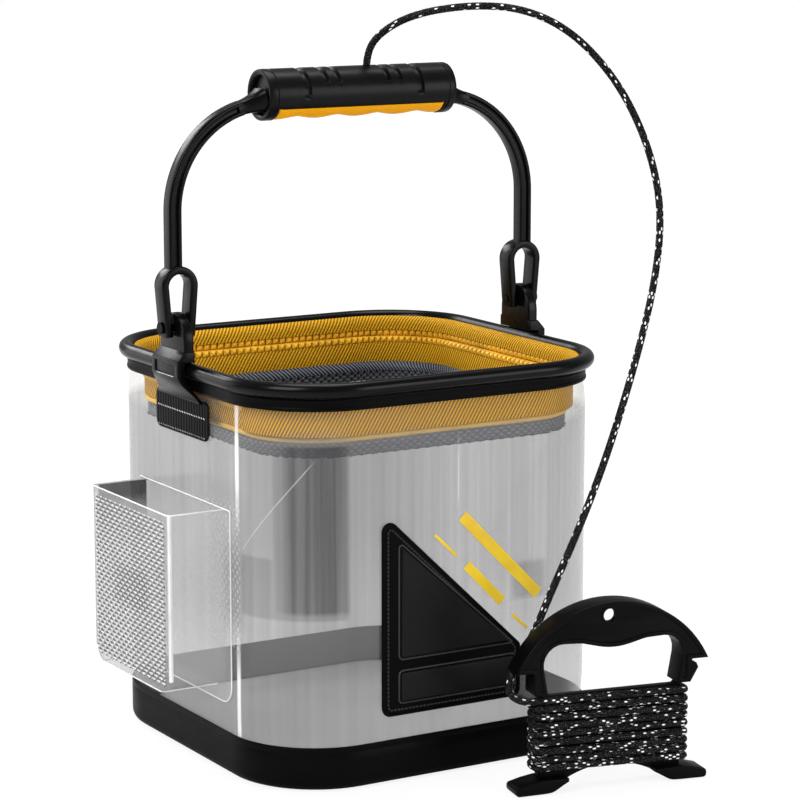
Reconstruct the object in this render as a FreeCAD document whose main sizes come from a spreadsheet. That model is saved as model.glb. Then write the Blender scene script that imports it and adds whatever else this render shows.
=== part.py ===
import FreeCAD, Part
import math
import os
from FreeCAD import Placement, Rotation, Vector

doc = FreeCAD.newDocument("BaitBucket")

# Driving dimensions in millimetres, one row each: name, value, what it is
SIZES = [
    ("bucket_width", 200.0, "outside width and depth of the bucket"),
    ("corner_radius", 48.0, "outside radius of the upright corners"),
    ("base_height", 22.2, "height of the base tray"),
    ("base_wall", 1.2, "wall of the base tray"),
    ("base_floor", 2.0, "floor of the base tray"),
    ("base_edge_radius", 5.0, "rounded lower edge of the base tray"),
    ("film_thickness", 0.6, "clear film of the wall and floor sheet"),
    ("film_gap", 0.2, "room between the film and what it is welded to"),
    ("rim_top", 203.7, "top of the rim bead above the ground"),
    ("bead_radius", 3.9, "radius of the rim bead"),
    ("bead_overhang", 4.1, "how far the bead stands out past the wall"),
    ("bead_wall", 2.0, "skin of the rim bead round its rod"),
    ("rod_clearance", 0.1, "room between the bead and its rod"),
    ("seat_gap", 0.3, "room between sewn or welded neighbours"),
    ("band_height", 6.1, "rim band under the bead"),
    ("collar_drop", 2.7, "collar top below the rim top"),
    ("collar_height", 7.4, "yellow collar above the zip"),
    ("collar_inset", 4.1, "collar set in from the bead"),
    ("cloth_thickness", 1.2, "doubled cloth of the collar and the bands"),
    ("row_height", 3.0, "one row of zip teeth"),
    ("row_thickness", 2.2, "zip teeth from front to back"),
    ("row_gap", 0.4, "room between the two zip rows"),
    ("lid_clearance", 0.8, "lid set in from the collar so that it can lift"),
    ("lid_band_height", 11.3, "yellow band of the lid under the zip"),
    ("piping_radius", 1.5, "orange piping under the lid band"),
    ("skirt_height", 6.2, "upright net below the piping"),
    ("net_thickness", 0.8, "thickness of the net"),
    ("net_cells", 16, "gaps along one side of the lid net"),
    ("net_strand", 2.0, "strand between two gaps of the lid net"),
    ("fold_margin", 2.0, "fold line of the lid past the start of the corners"),
    ("fold_gap", 0.6, "room at the fold line"),
    ("slider_length", 12.0, "zip slider along its row"),
    ("slider_thickness", 1.8, "plate of the zip slider"),
    ("slider_gap", 0.3, "running room of the zip slider"),
    ("pull_length", 18.0, "zip pull below its pivot"),
    ("pull_width", 5.0, "zip pull from side to side"),
    ("pull_thickness", 1.2, "plate of the zip pull"),
    ("pull_pivot_radius", 0.5, "trunnion of the zip pull"),
    ("ear_thickness", 1.5, "ears that carry the zip pull"),
    ("pivot_overhang", 2.0, "bail pivots out from the wall"),
    ("pivot_rise", 16.8, "bail pivots above the rim"),
    ("pin_radius", 2.0, "pivot pins of the bail"),
    ("pin_clearance", 0.05, "running room of the pivot pins"),
    ("pin_head_radius", 3.0, "heads of the pivot pins"),
    ("pin_head_height", 0.8, "thickness of the pin heads"),
    ("pin_head_gap", 0.95, "room between the fork legs and the pin ends"),
    ("lug_thickness", 5.5, "bracket lug between the fork legs"),
    ("lug_half_width", 13.5, "half the width of the bracket lug"),
    ("lug_rise", 7.5, "bracket lug above the pivots"),
    ("shelf_half_width", 14.5, "half the width of the bracket clip"),
    ("cheek_thickness", 4.6, "bracket cheek beside the bead"),
    ("clip_thickness", 2.0, "bracket clip over the bead"),
    ("shelf_rise", 3.8, "rise of the shelf towards the lug"),
    ("cheek_drop", 7.7, "bracket cheek below the rim top"),
    ("skirt_drop", 18.9, "bracket skirt below the rim top"),
    ("skirt_half_width", 24.0, "half the width of the skirt at its lower end"),
    ("skirt_thickness", 1.6, "bracket skirt at its lower end"),
    ("webbing_half_width", 28.5, "half the width of the webbing patch"),
    ("webbing_drop", 37.7, "webbing patch below the rim top"),
    ("webbing_height", 20.0, "height of the webbing patch"),
    ("webbing_thickness", 1.4, "thickness of the webbing patch"),
    ("webbing_corner", 4.0, "rounded corners of the webbing patch"),
    ("fork_radius", 10.0, "outside radius of the fork loop"),
    ("fork_band", 3.9, "thickness of the fork loop and its legs"),
    ("fork_depth", 10.0, "fork loop from front to back"),
    ("fork_rise", 20.9, "centre of the fork loop above the pivot"),
    ("fork_end", 4.3, "fork legs below the pivot"),
    ("fork_end_half_width", 7.9, "half the width over the fork legs at their ends"),
    ("arm_offset", 1.5, "upright arms out from the pivots"),
    ("arm_rise", 57.5, "bend of the arms above the pivots"),
    ("arm_bend_radius", 52.0, "radius of the bend of the arms"),
    ("arm_bend_angle", 75.0, "turn of the bend of the arms in degrees"),
    ("arm_thickness", 7.0, "arms in the plane of the bail"),
    ("arm_depth", 7.6, "arms from front to back"),
    ("arm_flange", 1.7, "flanges beside the channel of the arms"),
    ("arm_channel", 2.2, "depth of the channels in the arms"),
    ("grip_half_length", 54.5, "half the length of the grip"),
    ("grip_radius", 13.0, "radius of the grip barrel"),
    ("shell_height", 12.6, "grip barrel above its core"),
    ("grip_rise", 6.4, "grip shell above the ends of the arms' bends"),
    ("grip_end", 5.7, "ends of the grip shell past the finger pad"),
    ("core_half_depth", 5.0, "half the grip core from front to back"),
    ("core_height", 6.6, "height of the grip core"),
    ("finger_pitch", 23.4, "spacing of the finger hollows"),
    ("finger_depth", 1.7, "depth of the finger hollows"),
    ("finger_land", 3.0, "crest between two finger hollows"),
    ("pad_inset", 0.3, "finger pad set in from the grip shell"),
    ("groove_depth", 1.0, "grooves in the grip shell"),
    ("groove_long_x", 33.0, "long groove from the middle of the grip"),
    ("groove_long_width", 3.2, "width of the long groove"),
    ("groove_long_length", 14.0, "long grooves below the top of the grip"),
    ("groove_short_x", 21.5, "first short groove from the middle of the grip"),
    ("groove_short_pitch", 7.0, "spacing of the short grooves"),
    ("groove_short_width", 2.6, "width of the short grooves"),
    ("groove_short_length", 7.3, "short grooves below the top of the grip"),
    ("rope_diameter", 3.8, "braided rope"),
    ("rope_hole_x", 7.6, "rope hole right of the middle of the grip"),
    ("rope_clearance", 0.25, "room round the rope in its hole"),
    ("knot_radius", 3.8, "rope knot inside the grip"),
    ("winder_x", 55.2, "middle of the winder to the right"),
    ("winder_y", -154.4, "middle of the winder, in front of the bucket"),
    ("winder_turn", -11.3, "winder turned about the upright in degrees"),
    ("winder_half_width", 51.0, "half the width of the winder"),
    ("winder_height", 94.0, "height of the winder"),
    ("winder_thickness", 14.0, "winder from front to back"),
    ("winder_arch_level", 61.5, "lower ends of the winder's arch"),
    ("winder_leg_bottom", 51.0, "lower ends of the winder's legs"),
    ("winder_leg_half", 41.4, "outer faces of the winder's legs"),
    ("winder_hand_half", 35.0, "half the hand opening of the winder"),
    ("winder_hand_corner", 9.0, "rounded upper corners of the hand opening"),
    ("winder_hand_top", 75.5, "top of the hand opening"),
    ("winder_belly", 4.6, "dip of the hand opening's upper edge"),
    ("winder_belly_radius", 70.0, "radius of that dip"),
    ("winder_hole_x", -2.4, "hanging hole of the winder, left of its middle"),
    ("winder_hole_level", 87.5, "hanging hole of the winder"),
    ("winder_hole_radius", 3.2, "radius of the hanging hole"),
    ("winder_wall", 2.6, "wall round the hollow back of the winder's arch"),
    ("winder_front", 3.5, "front of the winder's arch"),
    ("waist_half_width", 38.0, "half the waist that carries the rope"),
    ("waist_thickness", 6.0, "thickness of that waist"),
    ("waist_top", 48.4, "top of the waist between the legs"),
    ("foot_height", 6.8, "feet of the winder at the waist"),
    ("foot_tip_height", 4.5, "feet of the winder at their tips"),
    ("foot_arch_radius", 50.3, "radius of the arch between the feet"),
    ("foot_arch_height", 10.7, "height of the arch between the feet"),
    ("winding_turns", 9, "rope turns on the winder"),
    ("winding_pitch", 4.25, "spacing of the turns"),
    ("winding_top", 47.0, "middle of the first turn above the ground"),
    ("entry_x", -45.2, "where the rope comes to the winder, along it"),
    ("entry_y", 9.5, "where the rope comes to the winder, behind its middle"),
    ("entry_z", 60.5, "where the rope comes to the winder, above the ground"),
    ("winding_gap", 0.15, "room between the rope and the waist"),
    ("pocket_depth", 30.0, "side pocket out from the bucket"),
    ("pocket_half_width", 43.5, "half the width of the side pocket"),
    ("pocket_bottom", 44.0, "underside of the side pocket"),
    ("pocket_height", 91.5, "height of the side pocket"),
    ("pocket_wall", 0.8, "film of the side pocket"),
    ("pocket_flange", 7.0, "welded flange round the side pocket"),
    ("emboss_border", 4.5, "plain border round the net of the pocket"),
    ("emboss_height", 0.6, "how far the pocket's net stands out"),
    ("diamond_width", 10.3, "one gap of the pocket's net from side to side"),
    ("diamond_height", 4.9, "one gap of the pocket's net from top to bottom"),
    ("diamond_strand", 1.1, "strand of the pocket's net"),
    ("patch_left", -41.8, "left edge of the front patch"),
    ("patch_right", 39.0, "right edge of the front patch"),
    ("patch_bottom", 34.0, "lower edge of the front patch"),
    ("patch_shoulder", 61.4, "where the sloping edge of the patch starts"),
    ("patch_top", 132.0, "top of the front patch"),
    ("patch_top_width", 6.5, "flat top of the front patch"),
    ("patch_thickness", 1.3, "thickness of the front patch"),
    ("panel_left", -32.9, "left edge of the raised panels"),
    ("panel_right", 36.0, "right corner of the raised panels"),
    ("panel_bottom", 39.8, "lower edge of the raised strip"),
    ("panel_split", 61.9, "lower edge of the raised triangle"),
    ("panel_split_gap", 4.5, "room between the raised panels"),
    ("panel_top", 123.2, "top of the raised triangle"),
    ("panel_tip", 1.0, "flat tip of the raised triangle"),
    ("panel_height", 1.2, "raised panels above the front patch"),
    ("cut_through", 1.0, "how far a cutting shape runs past what it cuts"),
    ("arm_seat", 2.0, "overlap of the arm's bend and its seat in the grip"),
]

sheet = doc.addObject("Spreadsheet::Sheet", "Sizes")
for row, (alias, number, note) in enumerate(SIZES, start=1):
    sheet.set("A%d" % row, note)
    sheet.set("B%d" % row, str(number))
    sheet.setAlias("B%d" % row, alias)
doc.recompute()


def size(alias):
    return float(sheet.get(alias))


# Places that follow from the driving dimensions, as expressions on the sheet
HALF = "(Sizes.bucket_width / 2)"
FILM_OUT = "(%s - Sizes.base_wall - Sizes.film_gap)" % HALF
FILM_IN = "(%s - Sizes.film_thickness)" % FILM_OUT
FLOOR_TOP = "(Sizes.base_floor + Sizes.film_thickness)"
BEAD_PATH = "(%s + Sizes.bead_overhang - Sizes.bead_radius)" % HALF
BEAD_LEVEL = "(Sizes.rim_top - Sizes.bead_radius)"
BAND_TOP = "(Sizes.rim_top - 2 * Sizes.bead_radius - Sizes.seat_gap)"
COLLAR_EDGE = "(%s - Sizes.bead_radius - Sizes.seat_gap)" % BEAD_PATH
COLLAR_IN = "(%s - Sizes.bead_radius - Sizes.collar_inset)" % BEAD_PATH
COLLAR_TOP = "(Sizes.rim_top - Sizes.collar_drop)"
COLLAR_BOTTOM = "(%s - Sizes.collar_height)" % COLLAR_TOP
UPPER_ROW_TOP = "(%s - Sizes.film_gap)" % COLLAR_BOTTOM
UPPER_ROW_BOTTOM = "(%s - Sizes.row_height)" % UPPER_ROW_TOP
LOWER_ROW_TOP = "(%s - Sizes.row_gap)" % UPPER_ROW_BOTTOM
LOWER_ROW_BOTTOM = "(%s - Sizes.row_height)" % LOWER_ROW_TOP
LID_OUT = "(%s - Sizes.lid_clearance)" % COLLAR_IN
ROW_IN = "(%s - Sizes.row_thickness)" % LID_OUT
LID_BAND_OUT = "(%s - Sizes.row_gap)" % LID_OUT
LID_BAND_IN = "(%s - Sizes.cloth_thickness)" % LID_BAND_OUT
LID_BAND_TOP = "(%s - Sizes.film_gap)" % LOWER_ROW_BOTTOM
LID_BAND_BOTTOM = "(%s - Sizes.lid_band_height)" % LID_BAND_TOP
PIPING_PATH = "(%s - Sizes.piping_radius)" % LID_BAND_OUT
PIPING_LEVEL = "(%s - Sizes.film_gap - Sizes.piping_radius)" % LID_BAND_BOTTOM
SKIRT_TOP = "(%s - Sizes.piping_radius - Sizes.film_gap)" % PIPING_LEVEL
SKIRT_OUT = "(%s - Sizes.film_gap)" % PIPING_PATH
NET_TOP = "(%s - Sizes.skirt_height)" % SKIRT_TOP
FOLD = "(Sizes.corner_radius - %s - Sizes.fold_margin)" % HALF
CLIP_BOTTOM = "(Sizes.rim_top + Sizes.seat_gap)"
SHELF_LEVEL = "(%s + Sizes.clip_thickness)" % CLIP_BOTTOM
CHEEK_IN = "(%s + Sizes.bead_overhang + Sizes.seat_gap)" % HALF
CHEEK_OUT = "(%s + Sizes.cheek_thickness)" % CHEEK_IN
CHEEK_BOTTOM = "(Sizes.rim_top - Sizes.cheek_drop)"
SKIRT_FACE = "(%s + Sizes.seat_gap)" % HALF
PIVOT_REACH = "(%s + Sizes.pivot_overhang)" % HALF
PIVOT_LEVEL = "(Sizes.rim_top + Sizes.pivot_rise)"
LUG_ROUND = "(%s + Sizes.lug_rise - Sizes.lug_half_width)" % PIVOT_LEVEL
ARM_REACH = "(%s + Sizes.arm_offset)" % PIVOT_REACH
BEND_LEVEL = "(%s + Sizes.arm_rise)" % PIVOT_LEVEL
BEND_CENTRE = "(%s - Sizes.arm_bend_radius)" % ARM_REACH
BEND_END_X = "(%s + Sizes.arm_bend_radius * cos(Sizes.arm_bend_angle * 1 deg))" % BEND_CENTRE
BEND_END_Z = "(%s + Sizes.arm_bend_radius * sin(Sizes.arm_bend_angle * 1 deg))" % BEND_LEVEL
GRIP_SPLIT = "(%s + Sizes.grip_rise)" % BEND_END_Z
GRIP_TOP = "(%s + Sizes.shell_height)" % GRIP_SPLIT
GRIP_AXIS = "(%s - Sizes.grip_radius)" % GRIP_TOP
GRIP_CORE_TOP = "(%s - Sizes.film_gap)" % GRIP_SPLIT
GRIP_CORE_BOTTOM = "(%s - Sizes.core_height)" % GRIP_CORE_TOP
PAD_TOP = "(%s - Sizes.seat_gap)" % GRIP_CORE_BOTTOM
PAD_RADIUS = "(Sizes.grip_radius - Sizes.pad_inset)"
PAD_BOTTOM = "(%s - %s)" % (GRIP_AXIS, PAD_RADIUS)
WALL_FACE = "(%s + Sizes.film_gap)" % FILM_OUT
PATCH_FACE = "(-%s - Sizes.patch_thickness)" % WALL_FACE
PANEL_FACE = "(%s - Sizes.panel_height)" % PATCH_FACE
POCKET_FACE = "(-%s - Sizes.pocket_depth)" % HALF

REACH = "(Sizes.bucket_width * 2)"

# Helpers that make one bound object each


def corner_at(half):
    return "(Sizes.corner_radius - %s + %s)" % (HALF, half)


def box(label, x, y, z):
    solid = doc.addObject("Part::Box", label)
    for length, axis, (low, high) in (("Length", "x", x), ("Width", "y", y), ("Height", "z", z)):
        solid.setExpression(length, "(%s) - (%s)" % (high, low))
        solid.setExpression("Placement.Base.%s" % axis, str(low))
    return solid


AXIS_TURN = {
    "x": Rotation(Vector(0, 1, 0), 90),
    "y": Rotation(Vector(1, 0, 0), -90),
    "z": Rotation(),
}


def cylinder(label, axis, radius, start, length):
    solid = doc.addObject("Part::Cylinder", label)
    solid.Placement = Placement(Vector(), AXIS_TURN[axis])
    solid.setExpression("Radius", str(radius))
    solid.setExpression("Height", str(length))
    for name, place in zip("xyz", start):
        solid.setExpression("Placement.Base.%s" % name, str(place))
    return solid


def wedge(label, low_x, low_y, low_level, high_x, high_y, high_level):
    # A block from one level to another, with a rectangle of its own at each
    solid = doc.addObject("Part::Wedge", label)
    solid.Placement = Placement(Vector(), Rotation(Vector(1, 0, 0), 90))
    bounds = {
        "Ymin": low_level, "Ymax": high_level,
        "Xmin": low_x[0], "Xmax": low_x[1], "X2min": high_x[0], "X2max": high_x[1],
        "Zmin": "-(%s)" % low_y[1], "Zmax": "-(%s)" % low_y[0],
        "Z2min": "-(%s)" % high_y[1], "Z2max": "-(%s)" % high_y[0],
    }
    for name, place in bounds.items():
        solid.setExpression(name, str(place))
    return solid


def upright_edges(shape):
    names = []
    for number, edge in enumerate(shape.Edges, start=1):
        if abs(abs(edge.tangentAt(edge.FirstParameter).z) - 1) < 1e-6:
            names.append("Edge%d" % number)
    return names


def lowest_edges(shape):
    low = shape.BoundBox.ZMin
    return ["Edge%d" % number for number, edge in enumerate(shape.Edges, start=1)
            if edge.BoundBox.ZMax - low < 1e-4]


def rounded_block(label, half, low, high, edge_radius=None):
    # A square block with round upright corners that follow the bucket's own
    body = doc.addObject("PartDesign::Body", label)
    block = body.newObject("PartDesign::AdditiveBox", label + "_box")
    block.setExpression("Length", "2 * %s" % half)
    block.setExpression("Width", "2 * %s" % half)
    block.setExpression("Height", "(%s) - (%s)" % (high, low))
    block.setExpression("Placement.Base.x", "-%s" % half)
    block.setExpression("Placement.Base.y", "-%s" % half)
    block.setExpression("Placement.Base.z", str(low))
    doc.recompute()
    corners = body.newObject("PartDesign::Fillet", label + "_corners")
    corners.Base = (block, upright_edges(block.Shape))
    corners.setExpression("Radius", corner_at(half))
    doc.recompute()
    if edge_radius:
        edge = body.newObject("PartDesign::Fillet", label + "_edge")
        edge.Base = (corners, lowest_edges(corners.Shape))
        edge.setExpression("Radius", edge_radius)
        doc.recompute()
    return body


def cut(label, base, tool):
    result = doc.addObject("Part::Cut", label)
    result.Base = base
    result.Tool = tool
    return result


def common(label, base, tool):
    result = doc.addObject("Part::Common", label)
    result.Base = base
    result.Tool = tool
    return result


def fuse(label, *pieces):
    result = doc.addObject("Part::MultiFuse", label)
    result.Shapes = list(pieces)
    result.Refine = True
    return result


def around(middle, half_width):
    return ("%s - (%s)" % (middle, half_width), "%s + (%s)" % (middle, half_width))


def evenly(half_width):
    return ("-%s" % half_width, half_width)


def opposite(label, source):
    # The same piece on the other side, half a turn round the bucket
    result = doc.addObject("Part::Compound", label)
    result.Links = [source]
    result.Placement = Placement(Vector(), Rotation(Vector(0, 0, 1), 180))
    return result


def ring(label, outer, inner, low, high):
    outside = rounded_block(label + "_outside", outer, low, high)
    inside = rounded_block(label + "_inside", inner, "%s - Sizes.cut_through" % low,
                           "%s + Sizes.cut_through" % high)
    return cut(label, outside, inside)


def round_loop(label, path, level, radius):
    # A round section carried once round the bucket at one level
    route = rounded_block(label + "_path", path, level, "%s + Sizes.cut_through" % level)
    section = doc.addObject("Part::Circle", label + "_section")
    section.Placement = Placement(Vector(), Rotation(Vector(1, 0, 0), 90))
    section.setExpression("Radius", radius)
    section.setExpression("Placement.Base.x", path)
    section.setExpression("Placement.Base.z", level)
    sweep = doc.addObject("Part::Sweep", label)
    sweep.Sections = [section]
    sweep.Spine = (route, lowest_edges(route.Shape))
    sweep.Solid = True
    return sweep


def coded(label, shape):
    feature = doc.addObject("Part::Feature", label)
    feature.Shape = shape
    return feature


# Base tray, floor sheet and film wall
tray_outside = rounded_block("tray_outside", HALF, "0", "Sizes.base_height", "Sizes.base_edge_radius")
tray_inside = rounded_block("tray_inside", "(%s - Sizes.base_wall)" % HALF, "Sizes.base_floor",
                            "Sizes.base_height + Sizes.cut_through")
base_tray = cut("base_tray", tray_outside, tray_inside)
floor_sheet = rounded_block("floor_sheet", "(%s - Sizes.seat_gap)" % FILM_IN, "Sizes.base_floor", FLOOR_TOP)
film_wall = ring("film_wall", FILM_OUT, FILM_IN, "(Sizes.base_floor + Sizes.seat_gap)", BAND_TOP)

# Rim bead with its rod, and the band under it
bead_skin = round_loop("bead_skin", BEAD_PATH, BEAD_LEVEL, "Sizes.bead_radius")
bead_bore = round_loop("bead_bore", BEAD_PATH, BEAD_LEVEL, "Sizes.bead_radius - Sizes.bead_wall")
rim_bead = cut("rim_bead", bead_skin, bead_bore)
rim_rod = round_loop("rim_rod", BEAD_PATH, BEAD_LEVEL,
                     "Sizes.bead_radius - Sizes.bead_wall - Sizes.rod_clearance")
rim_band = ring("rim_band", HALF, "(%s + Sizes.film_gap)" % FILM_OUT,
                "(%s - Sizes.band_height)" % BAND_TOP, BAND_TOP)

# Collar inside the rim: an upright cloth band with a ledge that reaches the bead
collar_band = ring("collar_band", "(%s + Sizes.cloth_thickness)" % COLLAR_IN, COLLAR_IN,
                   COLLAR_BOTTOM, COLLAR_TOP)
collar_ledge = ring("collar_ledge", COLLAR_EDGE, COLLAR_IN,
                    "(%s - Sizes.cloth_thickness)" % COLLAR_TOP, COLLAR_TOP)
collar = fuse("collar", collar_band, collar_ledge)

# The lid opens behind the fold line, and the apron in front of it stays
FAR = (FOLD, REACH)
BEFORE = ("-%s" % REACH, "%s - Sizes.fold_gap" % FOLD)
WIDE = ("-%s" % REACH, REACH)
TALL = ("0", REACH)


def behind_fold(label, whole):
    return common(label, whole, box(label + "_side", WIDE, FAR, TALL))


def before_fold(label, whole):
    return common(label, whole, box(label + "_side", WIDE, BEFORE, TALL))


row_ring = ring("row_ring", "(%s + Sizes.row_thickness)" % COLLAR_IN, COLLAR_IN,
                UPPER_ROW_BOTTOM, UPPER_ROW_TOP)
zip_row_upper = behind_fold("zip_row_upper", row_ring)
lower_row_ring = ring("lower_row_ring", LID_OUT, ROW_IN, LOWER_ROW_BOTTOM, LOWER_ROW_TOP)
zip_row_lower = behind_fold("zip_row_lower", lower_row_ring)
lid_band_ring = ring("lid_band_ring", LID_BAND_OUT, LID_BAND_IN, LID_BAND_BOTTOM, LID_BAND_TOP)
lid_band = behind_fold("lid_band", lid_band_ring)
apron_ring = ring("apron_ring", "(%s + Sizes.cloth_thickness)" % COLLAR_IN, COLLAR_IN,
                  LID_BAND_BOTTOM, UPPER_ROW_TOP)
apron_band = before_fold("apron_band", apron_ring)
piping_loop = round_loop("piping_loop", PIPING_PATH, PIPING_LEVEL, "Sizes.piping_radius")
lid_piping = behind_fold("lid_piping", piping_loop)
apron_piping = before_fold("apron_piping", piping_loop)
skirt_ring = ring("skirt_ring", SKIRT_OUT, "(%s - Sizes.net_thickness)" % SKIRT_OUT, NET_TOP, SKIRT_TOP)
lid_net_skirt = behind_fold("lid_net_skirt", skirt_ring)
apron_net_skirt = before_fold("apron_net_skirt", skirt_ring)


def evaluate(expression):
    return float(sheet.evalExpression(expression.replace("Sizes.", "")))


def closed_wire(points):
    return Part.makePolygon(list(points) + [points[0]])


def holed_plate(outline, holes, along):
    face = Part.Face([outline] + holes)
    return face.extrude(along)


def lid_net_shape():
    # One holed face, with square gaps wherever a whole one fits
    half = evaluate(SKIRT_OUT)
    corner = evaluate(corner_at(SKIRT_OUT))
    top = evaluate(NET_TOP) - size("film_gap")
    pitch = 2 * (half - size("net_strand")) / size("net_cells")
    gap_half = (pitch - size("net_strand")) / 2
    block = rounded_block("net_outline", SKIRT_OUT, "%s - Sizes.film_gap" % NET_TOP, NET_TOP)
    low_face = min(block.Shape.Faces, key=lambda face: face.CenterOfMass.z)
    outline = low_face.OuterWire
    core = half - corner
    holes = []
    count = int(size("net_cells"))
    for column in range(count):
        for line in range(count):
            x = (column - (count - 1) / 2) * pitch
            y = (line - (count - 1) / 2) * pitch
            over_x = max(abs(x) + gap_half - core, 0)
            over_y = max(abs(y) + gap_half - core, 0)
            crosses_fold = abs(y - evaluate(FOLD)) < gap_half + size("net_strand")
            if math.hypot(over_x, over_y) > corner - size("net_strand") or crosses_fold:
                continue
            square = [Vector(x + a * gap_half, y + b * gap_half, top)
                      for a, b in ((-1, -1), (1, -1), (1, 1), (-1, 1))]
            holes.append(closed_wire(square))
    print("lid net gaps:", len(holes))
    return holed_plate(outline, holes, Vector(0, 0, -size("net_thickness")))


whole_net = coded("whole_net", lid_net_shape())
lid_net = behind_fold("lid_net", whole_net)
apron_net = before_fold("apron_net", whole_net)

# Zip slider and pull, parked at the front end of the left run
SLIDER_Y = ("(%s + Sizes.fold_gap)" % FOLD, "(%s + Sizes.fold_gap + Sizes.slider_length)" % FOLD)
SLIDER_MIDDLE = "(%s + Sizes.fold_gap + Sizes.slider_length / 2)" % FOLD
PLATE_OUT = "(-%s + Sizes.slider_gap)" % ROW_IN
PLATE_IN = "(%s + Sizes.slider_thickness)" % PLATE_OUT
LIP_BOTTOM = "(%s + Sizes.slider_gap)" % LOWER_ROW_TOP
LIP_TOP = "(%s + Sizes.slider_thickness / 2)" % LIP_BOTTOM
BARREL_RADIUS = "(Sizes.pull_pivot_radius + Sizes.pull_thickness / 2)"
PULL_X = "(%s + Sizes.seat_gap + %s)" % (PLATE_IN, BARREL_RADIUS)
PULL_Z = "((%s + %s) / 2)" % (LOWER_ROW_BOTTOM, LOWER_ROW_TOP)
EAR_ROOM = "(Sizes.pull_width / 2 + Sizes.slider_gap)"
plate = box("slider_plate", (PLATE_OUT, PLATE_IN), SLIDER_Y,
            ("(%s - Sizes.slider_thickness / 2)" % LOWER_ROW_BOTTOM, LIP_TOP))
lip = box("slider_lip", ("-%s" % LID_OUT, PLATE_IN), SLIDER_Y, (LIP_BOTTOM, LIP_TOP))
ears = []
for name, side in (("slider_ear_front", -1), ("slider_ear_rear", 1)):
    near = "%s + %d * %s" % (SLIDER_MIDDLE, side, EAR_ROOM)
    far = "%s + %d * (%s + Sizes.ear_thickness)" % (SLIDER_MIDDLE, side, EAR_ROOM)
    span = (near, far) if side > 0 else (far, near)
    ears.append(box(name, (PLATE_IN, "%s + %s" % (PULL_X, BARREL_RADIUS)), span,
                    ("%s - %s" % (PULL_Z, BARREL_RADIUS), "%s + %s" % (PULL_Z, BARREL_RADIUS))))
slider_solid = fuse("slider_solid", plate, lip, *ears)
EAR_SPAN = "(2 * (%s + Sizes.ear_thickness))" % EAR_ROOM
slider_bore = cylinder("slider_bore", "y", "Sizes.pull_pivot_radius + Sizes.pin_clearance",
                       (PULL_X, "%s - %s / 2 - Sizes.cut_through" % (SLIDER_MIDDLE, EAR_SPAN), PULL_Z),
                       "%s + 2 * Sizes.cut_through" % EAR_SPAN)
zip_slider = cut("zip_slider", slider_solid, slider_bore)
barrel = cylinder("pull_barrel", "y", BARREL_RADIUS,
                  (PULL_X, "%s - Sizes.pull_width / 2" % SLIDER_MIDDLE, PULL_Z), "Sizes.pull_width")
trunnion = cylinder("pull_trunnion", "y", "Sizes.pull_pivot_radius",
                    (PULL_X, "%s - %s / 2" % (SLIDER_MIDDLE, EAR_SPAN), PULL_Z), EAR_SPAN)
pull_plate = box("pull_plate",
                 ("%s - Sizes.pull_thickness / 2" % PULL_X, "%s + Sizes.pull_thickness / 2" % PULL_X),
                 ("%s - Sizes.pull_width / 2" % SLIDER_MIDDLE, "%s + Sizes.pull_width / 2" % SLIDER_MIDDLE),
                 ("%s - Sizes.pull_length" % PULL_Z, PULL_Z))
zip_pull = fuse("zip_pull", barrel, trunnion, pull_plate)

# Brackets: a lug on a clip over the bead, with a skirt on the wall, the same on both sides
LUG_X = ("(%s - Sizes.lug_thickness / 2)" % PIVOT_REACH, "(%s + Sizes.lug_thickness / 2)" % PIVOT_REACH)


lug_plate = box("lug_plate", LUG_X, evenly("Sizes.lug_half_width"), (CLIP_BOTTOM, LUG_ROUND))
lug_round = cylinder("lug_round", "x", "Sizes.lug_half_width", (LUG_X[0], 0, LUG_ROUND), "Sizes.lug_thickness")
lug_head = common("lug_head", lug_round, box("lug_head_room", LUG_X, WIDE, (LUG_ROUND, REACH)))
clip_top = box("clip_top", (LUG_X[0], CHEEK_OUT), evenly("Sizes.shelf_half_width"),
               (CLIP_BOTTOM, SHELF_LEVEL))
clip_shelf = wedge("clip_shelf", (LUG_X[0], CHEEK_OUT), evenly("Sizes.shelf_half_width"),
                   SHELF_LEVEL, (LUG_X[0], LUG_X[1]), evenly("Sizes.shelf_half_width"),
                   "%s + Sizes.shelf_rise" % SHELF_LEVEL)
cheek = box("cheek", (CHEEK_IN, CHEEK_OUT), evenly("Sizes.shelf_half_width"),
            (CHEEK_BOTTOM, CLIP_BOTTOM))
bracket_skirt = wedge("bracket_skirt", (SKIRT_FACE, "%s + Sizes.skirt_thickness" % SKIRT_FACE),
                      evenly("Sizes.skirt_half_width"), "Sizes.rim_top - Sizes.skirt_drop",
                      (CHEEK_IN, CHEEK_OUT), evenly("Sizes.shelf_half_width"), CHEEK_BOTTOM)
bracket_solid = fuse("bracket_solid", lug_plate, lug_head, clip_top, clip_shelf, cheek, bracket_skirt)
lug_bore = cylinder("lug_bore", "x", "Sizes.pin_radius + Sizes.pin_clearance", (0, 0, PIVOT_LEVEL), REACH)
bracket_right = cut("bracket_right", bracket_solid, lug_bore)
bracket_left = opposite("bracket_left", bracket_right)

PIN_X = ("(%s - Sizes.fork_end_half_width - Sizes.pin_head_gap)" % PIVOT_REACH,
         "(%s + Sizes.fork_end_half_width + Sizes.pin_head_gap)" % PIVOT_REACH)
pin_shank = cylinder("pin_shank", "x", "Sizes.pin_radius", (PIN_X[0], 0, PIVOT_LEVEL),
                     "%s - %s" % (PIN_X[1], PIN_X[0]))
pin_head = cylinder("pin_head", "x", "Sizes.pin_head_radius", (PIN_X[1], 0, PIVOT_LEVEL),
                    "Sizes.pin_head_height")
pivot_pin_right = fuse("pivot_pin_right", pin_shank, pin_head)
pivot_pin_left = opposite("pivot_pin_left", pivot_pin_right)


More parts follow.
